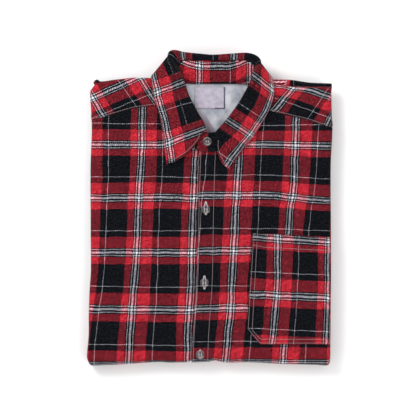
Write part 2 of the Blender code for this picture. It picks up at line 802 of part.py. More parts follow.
def folded_layers(finish_used):
    """Everything inside: the back, the sides turned in and the inner tail, as one solid."""
    shoulder = [
        (lambda x: 1.2 - shoulder_tangent(x), math.radians(degrees)) for degrees in (72, 48, 24, 0)
    ]
    face_ys = (122, 112, 90, 68, 56, 0, -70, -140)
    face = [(lambda x, y=y: -y, 0) for y in face_ys]
    turn = [(lambda x, t=t: math.pi * BOTTOM_R * t - bottom_tangent(x), 0) for t in steps(6)]
    step_y = BACK_LOW_Y - 4
    tail = [(lambda x, y=y: run_on_tail(x, y), 0) for y in (-140, -60, 20, step_y - 4, step_y)]

    def to_hem(x, t):
        return run_on_tail(x, lerp(step_y, HEM.read("y", x) - 2 * HEM_STEP, t))

    tail += [(lambda x, t=t: to_hem(x, t), 0) for t in (0.5, 1)]
    rows = shoulder + face + turn + tail
    return loops_solid("folded_layers", [core_loop(row, end) for row, end in rows], finish_used)


# ---- the buttons ----


def button(name, place, finish_used):
    """A four-hole shirt button with a rim, its back at place."""
    profile = (
        (0.0, 0.0),
        (BUTTON_R - 1.2, 0.0),
        (BUTTON_R, 0.9),
        (BUTTON_R, 1.7),
        (BUTTON_R - 0.7, BUTTON_THICK),
        (BUTTON_R - 1.5, BUTTON_THICK),
        (BUTTON_R - 2.3, BUTTON_THICK - 0.7),
        (0.0, BUTTON_THICK - 0.7),
    )
    shape = bmesh.new()
    line = [shape.verts.new((r * MM, 0, z * MM)) for r, z in profile]
    edges = [shape.edges.new(pair) for pair in zip(line, line[1:])]
    bmesh.ops.spin(
        shape, geom=line + edges, axis=(0, 0, 1), cent=(0, 0, 0), steps=20, angle=math.tau, use_merge=True
    )
    bmesh.ops.remove_doubles(shape, verts=shape.verts, dist=WELD)
    bmesh.ops.recalc_face_normals(shape, faces=shape.faces)
    mesh = bpy.data.meshes.new(name)
    shape.to_mesh(mesh)
    shape.free()
    mesh.shade_smooth()
    mesh.set_sharp_from_angle(angle=math.radians(40))
    mesh.materials.append(finish_used)
    made = bpy.data.objects.new(name, mesh)
    made.location = [c * MM for c in place]
    bpy.context.collection.objects.link(made)

    drill = bmesh.new()
    for across in (-1, 1):
        for along in (-1, 1):
            hole = bmesh.ops.create_cone(
                drill,
                cap_ends=True,
                segments=6,
                radius1=BUTTON_HOLE_R * MM,
                radius2=BUTTON_HOLE_R * MM,
                depth=4 * BUTTON_THICK * MM,
            )
            shift = (across * BUTTON_HOLE_OFF * MM, along * BUTTON_HOLE_OFF * MM, 0)
            bmesh.ops.translate(drill, verts=hole["verts"], vec=shift)
    cutter_mesh = bpy.data.meshes.new(name + "_holes")
    drill.to_mesh(cutter_mesh)
    drill.free()
    cutter = bpy.data.objects.new(name + "_holes", cutter_mesh)
    cutter.hide_render = True
    cutter.display_type = "WIRE"
    cutter.parent = made
    bpy.context.collection.objects.link(cutter)
    cut = made.modifiers.new("holes", "BOOLEAN")
    cut.operation = "DIFFERENCE"
    cut.object = cutter
    return made


def buttons(finish_used):
    collar_x, collar_y = -4.3, 86.6
    top_of_stand = STAND.read("low_z", STAND_STATIONS) + STAND_WALL / 2
    base = crowned((collar_x, collar_y, top_of_stand))
    button("button_collar", plus(base, (0, 0, GAP + 0.1)), finish_used)
    for number, run in enumerate(TOP_BUTTON_RUNS, 1):
        x, y = button_place(run)
        base = crowned((x, y, STACK + PLACKET_LIFT))
        button(f"button_{number}", plus(base, (0, 0, GAP + 0.05)), finish_used)
    for number, run in enumerate(TAIL_BUTTON_RUNS, len(TOP_BUTTON_RUNS) + 1):
        x, y = button_place(run)
        made = button(f"button_{number}", (x, y, BUTTON_THICK), finish_used)
        made.rotation_euler = (math.pi, 0, 0)


def main():
    for old in list(bpy.data.objects):
        bpy.data.objects.remove(old, do_unlink=True)
    flannel = finish("plaid_flannel", (0.30, 0.03, 0.04), 0.9)
    inside = finish("flannel_inside", (0.10, 0.03, 0.035), 0.92)
    lining = finish("grey_lining", (0.55, 0.55, 0.58), 0.85)
    tape = finish("label_tape", (0.75, 0.75, 0.76), 0.7)
    shell = finish("button_resin", (0.72, 0.70, 0.66), 0.3)
    front_right(flannel)
    front_left(flannel)
    yoke(flannel)
    yoke_lining(lining)
    neck_label(tape)
    collar_stand(flannel)
    collar_leaf(flannel)
    pocket(flannel)
    back(flannel)
    sleeve("sleeve_right", "left", flannel)
    sleeve("sleeve_left", "right", flannel)
    folded_layers(inside)
    buttons(shell)


main()
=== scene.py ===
"""Looks of a man's plaid flannel shirt, folded for a shelf and lying flat.

Sizes are in millimetres in the part's own frame: +X to the wearer's left, +Y to the collar, +Z up.
The folded form repeats the part's solids; every cloth piece here is a thin shell on that form.
Each one carries a UV map named cloth, in repeats of the plaid: U across the warp, V up the weft.
"""

import math

import bmesh
import bpy
import numpy as np
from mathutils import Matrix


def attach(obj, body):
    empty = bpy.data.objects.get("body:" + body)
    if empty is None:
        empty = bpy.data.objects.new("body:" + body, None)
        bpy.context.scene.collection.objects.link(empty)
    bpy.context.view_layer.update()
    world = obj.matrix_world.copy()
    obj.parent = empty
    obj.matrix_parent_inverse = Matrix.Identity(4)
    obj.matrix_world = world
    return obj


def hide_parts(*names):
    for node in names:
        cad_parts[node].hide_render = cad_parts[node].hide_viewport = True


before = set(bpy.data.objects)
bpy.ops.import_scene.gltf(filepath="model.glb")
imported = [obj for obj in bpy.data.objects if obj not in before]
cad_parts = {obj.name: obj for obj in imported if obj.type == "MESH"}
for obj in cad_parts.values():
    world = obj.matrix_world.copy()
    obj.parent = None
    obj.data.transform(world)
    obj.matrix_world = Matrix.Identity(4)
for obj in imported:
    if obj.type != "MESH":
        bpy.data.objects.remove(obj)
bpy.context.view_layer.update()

MM = 0.001
UP = np.array([0, 0, 1.0])

# ---- the folded form, as the part has it ----

WALL, GAP, STACK = 1.3, 0.3, 24.0  # cloth, the gap between layers, and the height at the folds
FOLD_R, BOTTOM_R = 5.2, 12.0
FOLD_ROUND, BOTTOM_ROUND = math.pi * FOLD_R, math.pi * BOTTOM_R  # the cloth's way round them
FLAP, TAIL_INSET, CROWN = 14.0, 1.5, 1.5
HALF_WIDTH, HALF_LENGTH = 158.0, 205.0
PLACKET, PLACKET_WALL, PLACKET_LIFT = 21.2, 2.1, 0.7
UNDERLAP_WIDTH, BUTTON_LINE = 24.0, 10.6
BUTTON_THICK, BUTTON_SPACING = 2.6, 92.0
TOP_BUTTON_RUNS = (1.6, 97.2, 190.5)
TAIL_BUTTON_RUNS = tuple(TOP_BUTTON_RUNS[-1] + BUTTON_SPACING * i for i in (1, 2))
DIMPLE_FLAT, DIMPLE_R, DIMPLE_LIFT = 9.0, 15.0, BUTTON_THICK + 0.9
LINING_Z = 19.4
LABEL_SIZE, LABEL_CENTRE, LABEL_WALL = (39.0, 28.2), (-1.0, 143.6), 1.0
STAND_WALL, LEAF_WALL, LEAF_ROLL, LEAF_SEAM_GAP = 1.6, 2.2, 2.7, 0.7
CORE_DEPTH, NECK_DEPTH = WALL + 2 * GAP, 4.3
HEM_STEP, SLEEVE_THICK, SLEEVE_INSET = 1.6, 2.6, 3.2
SLEEVE_ENDS = (-176.0, 150.0)
NECK_LEFT, NECK_RIGHT = -46.0, 53.0
YOKE_RETURN, MITRE = 32.0, 0.85
BAND_START = math.radians(100)
SIDE_X = 153.0
SIGN = {"left": -1, "right": 1}  # the part's sides: the wearer's left front is on the right

REPEAT = 71.3  # of the plaid, both ways
THIN, GROUP = 0.112, 0.711  # where its thin line and the middle of its stripe group lie
PX, PX_X, PX_Y = 1.3, 210.5, 208.2  # mm to a unit of the flat view, and the frame's origin in it


def px(x, y):
    """Frame coordinates of a place in a straight-down view of the shirt."""
    return (x - PX_X) * PX, (PX_Y - y) * PX


def lerp(a, b, t):
    return a + (b - a) * t


def ramp(value, start, end):
    return np.clip((value - start) / (end - start), 0.0, 1.0)


def smooth(value, start, end):
    t = ramp(value, start, end)
    return t * t * (3 - 2 * t)


def between(value, start, full, end, gone):
    """Rises smoothly from 0 to 1 between start and full, and falls back between end and gone."""
    return smooth(value, start, full) * (1 - smooth(value, end, gone))


def bell(off, half):
    return np.exp(-((off / half) ** 2))


def together(*values):
    """Values side by side in the last axis."""
    return np.stack(np.broadcast_arrays(*values), axis=-1)


def rows_of(text):
    """Rows of numbers, each ended by a semicolon or by its line."""
    return np.array([row.split() for row in text.replace(";", "\n").splitlines()], float)


class Table:
    """Rows under named columns, read by the first column, smoothly or in straight runs."""

    def __init__(self, names, text):
        rows = rows_of(text)
        self.names, self.rows = names.split(), rows[np.argsort(rows[:, 0])]

    def straight(self, column, key):
        return np.interp(key, self.rows[:, 0], self.rows[:, self.names.index(column)])

    def read(self, column, key):
        keys, values = self.rows[:, 0], self.rows[:, self.names.index(column)]
        key = np.clip(key, keys[0], keys[-1])
        i = np.clip(np.searchsorted(keys, key, side="right") - 1, 0, len(keys) - 2)
        low = np.maximum(np.arange(len(keys)) - 1, 0)
        high = np.minimum(np.arange(len(keys)) + 1, len(keys) - 1)
        slope = (values[high] - values[low]) / (keys[high] - keys[low])
        span = keys[i + 1] - keys[i]
        t = (key - keys[i]) / span
        return (
            (1 + 2 * t) * (1 - t) ** 2 * values[i]
            + t * (1 - t) ** 2 * span * slope[i]
            + t * t * (3 - 2 * t) * values[i + 1]
            + t * t * (t - 1) * span * slope[i + 1]
        )

    def point(self, columns, key):
        return together(*(self.read(column, key) for column in columns.split()))


# The parcel's outline: its sides, its bottom fold and its shoulder fold.
EDGES = Table(
    "y left right",
    """-204 -159.5 156.3; -195 -161 156; -165 -158.6 156.2; -138 -158.5 156.5; -105 -157.3 156.8
-82 -155.8 157; -27 -156 156.8; 55 -156.2 156.5; 102 -154.5 158.7; 130 -155.6 157.7
147 -156.8 157.4; 153 -156.4 157.5; 157 -153.4 158; 161.2 -150.7 158.7; 162.4 -152.4 158.8""",
)
BOTTOM = Table(
    "x y",
    """-156 -205.4; -104 -203.1; -58 -200.3; -44 -201.2; 9 -199.8; 16 -198.4; 22 -199.8; 30 -201.1
60 -200.7; 100 -202.9; 140 -203.9; 154 -205""",
)
SHOULDER = Table(
    "x y",
    """-156 162; -152.9 167.6; -150.3 165; -118 168; -98 170; -40 168; 50 168; 101 167.4; 129 163.6
157 162.4""",
)
# The hem under the shirt, and the fronts' seams with the yoke and the collar.
HEM = Table("x y", "-158 110; -110 130; -60 138; 0 140; 60 138; 110 130; 158 110")
FRONT_TOP = Table(
    "x y",
    """-153 114.7; -100 130.3; -50 137; -36 99; -20 83; -4 78; 9 80; 32 97; 57 129; 78 126.4
126 115.2; 153 106""",
)
PLACKET_EDGE = Table("run x", "-80 -14; -11 -16.4; 97 -18.5; 171 -23.4; 228 -25; 560 -38")
LINING_EDGES = Table("y left right", "76 -16 22; 100 -33 42; 128 -47 57; 160 -42 52")
# The collar, station by station round the neck from the wearer's right front.
STAND = Table(
    "station low_x low_y low_z high_x high_y high_z",
    """0 5 76 25.9 5 92 25.9
1 -8 74 25.9 -4 97 26
2 -24 79 25.8 -9 110.2 26.8
3 -38 94 25.3 -15.7 121.4 27.4
4 -48 113 25.1 -22.4 133.8 28.2
5 -52 132 25.1 -29.1 147.2 29.4
6 -49 148 25.1 -33 159.5 30.4
7 -41.5 159 24 -37 172 31
8 -33 161.6 21.2 -40.5 184 31.4
9 -22 161.6 20.9 -34 191 31.6
10 -8 161.6 20.9 -15 191.2 31.6
11 4 161.6 20.9 4 191 31.6
12 16 161.6 20.9 25 191.2 31.6
13 32 161.6 20.9 47 191 31.6
14 43 161.4 21.6 56.2 184.3 31.4
15 50 159 24.9 54.4 173.5 31
16 58 146 25.1 50.5 161 30.4
17 57 127 25.6 44.9 149.4 29.8
18 49 109 26.6 37.1 136 29.4
19 37 93 27.5 29.1 124.8 29.1
20 20 79 27.8 19 112 28.7
21 4 73.6 27.8 7 100 28.1
22 -10 74.6 27.8 -8 97 27.8
23 -18 79.5 27.8 -17.5 91 27.8""",
)
LEAF = Table(
    "station seam_x seam_y seam_z edge_x edge_y edge_z heading lean strip rise bow",
    """0 -6.6 101.5 28.6 -57 56.5 25.6 222 0 0.4 2.6 7
1 -9 110.5 28.4 -59.9 77.7 25.6 215 0 1 3 4
2 -15.7 121.4 28.3 -62.8 101.3 25.6 207 0 1.5 3.4 0
3 -22.4 133.8 28.8 -66.7 122.5 25.6 205 0 1.7 3.6 0
4 -29.1 147.2 29.6 -71.8 138.2 25.6 202 0 1.8 3.6 0
5 -33 159.5 30.6 -75.2 153 25.6 185 8 2.2 3.2 0
6 -37.2 172.5 31.2 -76.6 165.5 25.9 155 38 7.5 2.6 0
7 -41.4 185.6 31.6 -74.4 173 20.5 128 74 16.7 2 0
8 -34 191.5 31.8 -52 177 9.5 97 77 6.9 -1 0
9 -15 191.6 31.8 -24 176 8 92 77 4.5 -1.5 0
10 4 191.4 31.8 4 175.5 8 90 77 3.2 -1.5 0
11 25 191.6 31.8 31 176 8 88 77 4.4 -1.5 0
12 47 191.5 31.8 57 177 9.5 78 77 5.6 -1 0
13 56.4 184.8 31.6 77.2 171.8 20.5 50 74 7.4 2 0
14 54.6 174 31.2 81.2 163 25.9 22 34 5 2.6 0
15 50.6 161 30.6 82.2 150 25.6 0 8 2.2 3.2 0
16 44.9 149.4 30 80.4 138.5 25.6 -14 0 1.8 3.6 0
17 37.1 136 29.6 74 122 25.6 -24 0 1.7 3.6 0
18 29.1 124.8 29.6 65 107.5 25.6 -32 0 1.5 3.4 0
19 19 112 29.7 52 88 25.6 -40 0 1 3 -1
20 11 103 29.8 36 67.5 25.6 -48 0 0.7 2.6 -4
21 6 97 29.8 24.8 49.4 25.6 -58 0 0.4 2.2 -7""",
)
LEAF_STATIONS, STAND_STATIONS = 21, 23
POCKET_LEFT = Table("y x", "-176 47.4; -33 54.9")
POCKET_TOP, POCKET_BOTTOM, POCKET_CUT = -32.0, -176.8, (17.0, 20.5)
POCKET_WRAP = math.radians(42)


def bottom_tangent(x):
    return BOTTOM.read("y", x) + BOTTOM_R


def down_the_stack(x, run, depth):
    """(y, z) at a depth below the outer face, run along it from y = 0 and round the bottom."""
    tangent = bottom_tangent(x)
    past = run + tangent
    turn = np.clip(past / BOTTOM_R, 0, math.pi)
    radius = BOTTOM_R - depth
    y = tangent - radius * np.sin(turn) + np.where(past < 0, -past, 0)
    y = y + np.maximum(past - BOTTOM_ROUND, 0)
    return y, BOTTOM_R + radius * np.cos(turn)


def tail_share(x, run):
    return ramp(run + bottom_tangent(x), 0, BOTTOM_ROUND)


def side_tangent(side, x, run):
    y, _ = down_the_stack(x, run, 0.0)
    inward = FOLD_R + TAIL_INSET * tail_share(x, run)
    return EDGES.read(side, y) - SIGN[side] * inward


def placket_x(run):
    return PLACKET_EDGE.read("x", run)


def run_on_tail(x, y):
    return BOTTOM_ROUND + y - 2 * bottom_tangent(x)


def front_top(x):
    return FRONT_TOP.straight("y", x)


def shoulder_tangent(x):
    return SHOULDER.read("y", x) - FOLD_R


def button_place(run):
    x = placket_x(run) + BUTTON_LINE
    return float(x), float(down_the_stack(x, run, 0.0)[0])


# ---- creases ----
# Soft troughs and ridges: where each starts and ends (x, y, x, y), its half width and its height.
# They fade out along their length.

FACE_CREASES = rows_of(
    """96 8 156 -2 7 -1; 70 14 120 18 9 0.6; 40 60 60 12 8 0.5; 12 66 20 -10 5 -0.55
8 -30 14 -110 5 -0.45; 14 -120 6 -178 6 0.5; 30 -150 22 -196 7 -0.6; 120 60 154 44 7 0.7
128 96 156 84 6 -0.7; 66 100 98 70 9 0.5; -30 40 -26 -50 5.5 -0.6; -34 -60 -40 -150 6 -0.5
-24 66 -34 20 5 0.5; -110 100 -60 84 9 0.55; -150 60 -96 40 9 -0.65; -152 -10 -110 -24 8 0.6
-84 10 -64 -70 11 0.5; -150 -90 -92 -104 8 -0.7; -120 -140 -104 -196 8 0.7
-76 -150 -66 -196 7 -0.6; -148 -160 -128 -196 7 -0.7; 100 -182 110 -199 7 0.7
60 -184 54 -199 6 -0.5; -100 128 -62 150 5 -0.9; -140 122 -112 146 6 0.8
-128 156 -60 158 5 0.7; -146 150 -136 126 5 -0.6; 84 128 116 152 6 0.8; 70 132 92 156 5 -0.7
112 142 150 128 6 0.7; 126 124 148 112 5 -0.6"""
)
# The underside lies on its surface, so its creases only lift off it.
TAIL_CREASES = rows_of(
    """-150 90 -100 40 7 0.8; -140 -20 -80 -46 8 0.9; -120 -180 -96 -110 7 0.7
-76 128 -64 60 6 0.9; -60 -20 -54 -100 7 0.6; 30 134 22 70 6 0.8; 60 120 120 60 8 0.9
150 20 96 -10 7 0.8; 70 -30 84 -110 8 0.7; 110 -120 146 -170 7 0.9; 20 -60 30 -170 6 0.6
-20 -150 -10 -185 6 0.7"""
)
LINING_CREASES = rows_of(
    """-30 152 0 92 3.4 -1.5; -38 140 -8 88 2.6 1.5; 34 154 8 94 3.2 -1.3; 42 140 14 90 2.8 1.3
-6 126 4 86 2.4 1.2; 22 156 27 112 2.6 1.2; -34 160 -20 124 2.4 1.1; 10 128 12 92 2.2 -0.9
38 158 44 128 2.4 1"""
)
# Beside the collar the right shoulder rolls over twice; this is the trough between.
SECOND_ROLL = Table("x y", "74 162.2; 83 160.8; 104 158.6; 119 157.7; 158 157.9")


def creased(creases, x, y):
    height = np.zeros(np.broadcast(x, y).shape)
    for x0, y0, x1, y1, half, tall in creases:
        length = math.hypot(x1 - x0, y1 - y0)
        ux, uy = (x1 - x0) / length, (y1 - y0) / length
        along = (x - x0) * ux + (y - y0) * uy
        # Each one bends a little to one side.
        bend = 0.05 * length * np.sin(np.pi * np.clip(along / length, 0, 1))
        off = (y - y0) * ux - (x - x0) * uy - bend
        fade = between(along, *(t * length for t in (-0.15, 0.3, 0.6, 1.15)))
        height = height + tall * bell(off, half) * fade
    return height


def face_relief(x, y):
    """How far the upper face stands above or below its plain crown."""
    ripple = 0.16 * np.sin(x / 17.0 + 1.3 * np.sin(y / 41.0)) * np.sin(y / 23.0 + 0.7)
    ripple = ripple + 0.12 * np.sin(x / 9.5 + y / 14.0 + 2.0 * np.sin(x / 60.0))
    # The placket's stitching puckers it.
    off = x - placket_x(-y)
    rows = bell(off - 22, 5.0) + 0.7 * bell(off, 4.0)
    pucker = 0.16 * np.sin(y / 4.1 + 0.6 * np.sin(y / 19.0)) * rows * (1 - smooth(y, 50, 75))
    deep = smooth(x, 66, 84) * (1.6 + 1.2 * (1 - smooth(x, 96, 112)))
    roll = -deep * bell(y - SECOND_ROLL.read("y", x), 1.7)
    return 1.9 * creased(FACE_CREASES, x, y) + roll + ripple + pucker


def settle(x, y, z):
    """Crowns the parcel, creases its faces, and leaves the underside flat between its creases."""
    rise = CROWN * (1 - (x / HALF_WIDTH) ** 2) * (1 - (y / HALF_LENGTH) ** 2)
    up = np.maximum(rise, 0) * np.minimum(z / STACK, 1)
    up = up + face_relief(x, y) * smooth(z, 14, 22)
    ripple = 0.15 + 0.15 * np.sin(x / 21.0 + 1.5 * np.sin(y / 37.0)) * np.sin(y / 29.0)
    up = up + (np.maximum(creased(TAIL_CREASES, x, y), 0) + ripple) * (1 - smooth(z, 1, 10))
    return together(x, y, z + up)


def dimpled(points):
    """The tail's layers are pressed up over the buttons that the shirt lies on."""
    x, y, z = np.moveaxis(points, -1, 0)
    lift = 0
    for run in TAIL_BUTTON_RUNS:
        button_x, button_y = button_place(run)
        away = np.hypot(x - button_x, y - button_y)
        lift = lift + DIMPLE_LIFT * (1 - smooth(away, DIMPLE_FLAT - 2, DIMPLE_R + 1))
    return together(x, y, z + lift * np.maximum(0, 1 - z / 10))


# ---- where the plaid's stripes run ----
# Each row gives, down the shirt, where its lines cross: t the thin ones and g the groups, as
# places of px().

RIGHT_FRONT_WARP = Table(
    "y t0 g0 t1 g1",
    """100 109.8 143.1 163.4 197.4; 125 108.4 142 162.6 196.4; 145 108.5 142 162.6 196.2
176 108.4 140.4 162 194.6; 197 107.3 138.6 160.3 193.9; 215 106.4 138.2 159.1 192.9
253 105 136.5 157.8 191.5; 285 102.8 133.7 156.9 190.9; 309 99.2 131.7 155.6 189.2
330 96.5 130.4 153.6 187.9; 345 94.6 129.1 152.6 187.8; 362 94 128.4 152 187.6""",
)
LEFT_FRONT_WARP = Table(
    "y t0 g0 t1 g1 t2",
    """100 209.5 242 264.5 297.4 319.7; 127 208.6 241 263.6 296 318.7
145 207.6 239.6 261.9 295.2 317.8; 165 205.9 238.8 260.6 294.5 316.7
178 205 238 260 294.3 315.5; 195 202.4 236.5 259.5 293 314
207 201.1 235.7 258.9 290.6 311.7; 230 199.8 234.7 257.6 288.8 308.8
250 198.3 233.6 256.4 287.5 308; 283 196.6 231.7 253.7 286.2 307.2
308 195.6 230.8 252.9 285 306.5; 343 192.2 226.9 250.6 283.9 305.9
362 190.9 225.1 248.8 282.9 304.9""",
)
POCKET_WARP = Table(
    "y g0 t1 g1",
    """234 277.8 299.2 328.4; 267 277.7 298.5 328; 292 276.8 297.1 327.9; 309 275.5 296.3 327.6
330 273.5 294.6 326.7; 346 271.6 293.4 326.1""",
)
# The places down the shirt of the weft's lines, from the lowest up, and how far they sag below
# these at three places across each front.
RIGHT_FRONT_WEFT = (366.2, 344.6, 309.2, 286.5, 252.6, 230.6, 197.2, 176.5, 144.6, 123.4)
LEFT_FRONT_WEFT = (363.9, 341.3, 307.9, 285.8, 250.3, 228.0, 195.2, 174.6, 144.5, 125.2)
POCKET_WEFT = (329.6, 295.9, 272.9, 238.7)
RIGHT_FRONT_SAG = Table(
    "y side middle placket",
    """123 0 0.3 0.3; 144 0 0.4 0.3; 176 0.5 0.1 0.1; 197 0.95 0.3 0; 230 0.4 0.1 0.2; 252 0 0 0.1
286 -0.2 0.8 0.5; 309 0.1 0.6 0.9; 344 0 0.4 1.2; 366 0.1 0.1 0.2""",
)
LEFT_FRONT_SAG = Table(
    "y placket middle side",
    """115 0.6 0 -0.4; 125 0.6 0.3 -0.6; 145 0 0.1 1.5; 175 0.4 0.4 4; 197 0.3 0.1 5.3
229 0.4 0.5 3; 251 0.9 0.4 1.4; 286 0.3 0.3 0.8; 308 1 0.2 0; 342 0.5 0 0; 364 -0.6 0.2 -0.2""",
)
# For each side: warp, weft, sag, and where across it the sag goes from one place's to the next's.
FRONT_PLAID = {
    "left": (RIGHT_FRONT_WARP, RIGHT_FRONT_WEFT, RIGHT_FRONT_SAG, (-146, -90), (-90, -26)),
    "right": (LEFT_FRONT_WARP, LEFT_FRONT_WEFT, LEFT_FRONT_SAG, (2, 14), (66, 156)),
}


def stripes(value, places, shares):
    """Plaid coordinate by straight runs between places (increasing), and evenly past them."""
    found = shares[0] + (value - places[0]) / REPEAT
    for start, end, low, high in zip(places, places[1:], shares, shares[1:]):
        inside = low + (value - start) / (end - start) * (high - low)
        found = np.where(value >= start, inside, found)
    return np.where(value > places[-1], shares[-1] + (value - places[-1]) / REPEAT, found)


def line_shares(count, first):
    """Plaid coordinates of lines that take turns, thin ones (t) and groups (g)."""
    skip = int(first == "g")
    return [k // 2 + (GROUP if k % 2 else THIN) for k in range(skip, count + skip)]


def warp_of(table, x, y, first="t"):
    names = table.names[1:]
    places = [px(table.read(name, PX_Y - y / PX), 0)[0] for name in names]
    return stripes(x, places, line_shares(len(names), first))


def weft_of(lines, y, first="g"):
    return stripes(y, [px(0, line)[1] for line in lines], line_shares(len(lines), first))


def by_lines(x, y, lines, toward):
    """Plaid coordinate of a point between straight lines of px(): each is its share and two
    places on it, in order; toward is a px() direction in which the coordinate grows."""
    away = []
    for _, start, end in lines:
        (ax, ay), (bx, by) = px(*start), px(*end)
        nx, ny = ay - by, bx - ax
        size = math.copysign(math.hypot(nx, ny), nx * toward[0] - ny * toward[1])
        away.append(((x - ax) * nx + (y - ay) * ny) / size)
    shares = [line[0] for line in lines]
    found = shares[0] + away[0] / REPEAT
    for i in range(len(lines) - 1):
        inside = away[i] / np.maximum(away[i] - away[i + 1], 1.0)
        found = np.where(away[i] >= 0, lerp(shares[i], shares[i + 1], inside), found)
    return np.where(away[-1] > 0, shares[-1] + away[-1] / REPEAT, found)


# ---- materials ----

# The shader's sockets whose names here aren't their own.
SOCKETS = {
    "colour": "Base Color",
    "specular": "Specular IOR Level",
    "coat": "Coat Weight",
    "sheen": "Sheen Weight",
}


def linear(colour):
    """A linear colour from display values, 11 to 255."""
    return (*(((c / 255 + 0.055) / 1.055) ** 2.4 for c in colour), 1)


class Nodes:
    """A material's node tree, with short ways to add and join its nodes."""

    def __init__(self, name):
        self.material = bpy.data.materials.new(name)
        self.material.use_nodes = True
        self.tree = self.material.node_tree
        self.shader = self.tree.nodes["Principled BSDF"]

    def add(self, kind, inputs=None, **settings):
        node = self.tree.nodes.new("ShaderNode" + kind)
        for key, value in settings.items():
            setattr(node, key, value)
        for key, value in (inputs or {}).items():
            self.put(node.inputs[key], value)
        return node

    def put(self, socket, value):
        if isinstance(value, bpy.types.NodeSocket):
            self.tree.links.new(value, socket)
        else:
            socket.default_value = value

    def place(self):
        return self.add("TexCoord").outputs["Object"]

    def axes(self, vector):
        return self.add("SeparateXYZ", {0: vector}).outputs

    def math(self, operation, *values):
        return self.add("Math", dict(enumerate(values)), operation=operation).outputs[0]

    def vector(self, operation, a, b):
        return self.add("VectorMath", {0: a, 1: b}, operation=operation).outputs[0]

    def mix(self, share, a, b, blend="MIX"):
        inputs = {0: share, 6: a, 7: b}
        return self.add("Mix", inputs, data_type="RGBA", blend_type=blend).outputs[2]

    def tints(self, share, low, high):
        """A mix of two colours in display values."""
        return self.mix(share, linear(low), linear(high))

    def grey(self, level):
        return self.add("CombineColor", {0: level, 1: level, 2: level}).outputs[0]

    def noise(self, vector, scale, detail=2.0, roughness=0.5):
        inputs = {"Vector": vector, "Scale": scale, "Detail": detail, "Roughness": roughness}
        return self.add("TexNoise", inputs).outputs["Fac"]

    def wave(self, vector, scale, distortion, **settings):
        inputs = {"Vector": vector, "Scale": scale, "Distortion": distortion}
        return self.add("TexWave", inputs, **settings).outputs["Fac"]

    def spread(self, value, low, high, to_low=0.0, to_high=1.0):
        inputs = {0: value, 1: low, 2: high, 3: to_low, 4: to_high}
        return self.add("MapRange", inputs).outputs[0]

    def bump(self, height, distance, strength, below=None):
        inputs = {"Height": height, "Distance": distance, "Strength": strength}
        if below is not None:
            inputs["Normal"] = below
        return self.add("Bump", inputs).outputs[0]

    def set(self, **values):
        for key, value in values.items():
            socket = SOCKETS.get(key, key.replace("_", " ").title())
            self.put(self.shader.inputs[socket], value)


# Display values.
YARNS = {"red": (160, 28, 39), "black": (6, 8, 12), "white": (214, 214, 224)}
# One repeat of the sett, from the start of its black: width in mm and the yarn.
SETT = (
    (7.72, "black"),
    (0.62, "white"),
    (27.86, "black"),
    (8.45, "red"),
    (1.65, "black"),
    (0.85, "white"),
    (2.4, "black"),
    (2.3, "white"),
    (2.4, "black"),
    (0.85, "white"),
    (1.65, "black"),
    (14.55, "red"),
)
WALE, WALE_SLOPE = 1.9, 0.84  # mm between the twill's diagonal ribs, and how they lean
THREAD_PITCH = 0.55


def yarn_ramp(nodes, place):
    """The yarn's colour across the repeat, in display values."""
    ramp_node = nodes.add("ValToRGB", {"Fac": place})
    ramp_node.color_ramp.interpolation = "CONSTANT"
    elements = ramp_node.color_ramp.elements
    elements.remove(elements[1])
    total = sum(width for width, _ in SETT)
    start = 0.0
    for i, (width, yarn) in enumerate(SETT):
        element = elements[0] if i == 0 else elements.new(start / total)
        element.color = (*(c / 255 for c in YARNS[yarn]), 1)
        start += width
    return ramp_node.outputs["Color"]


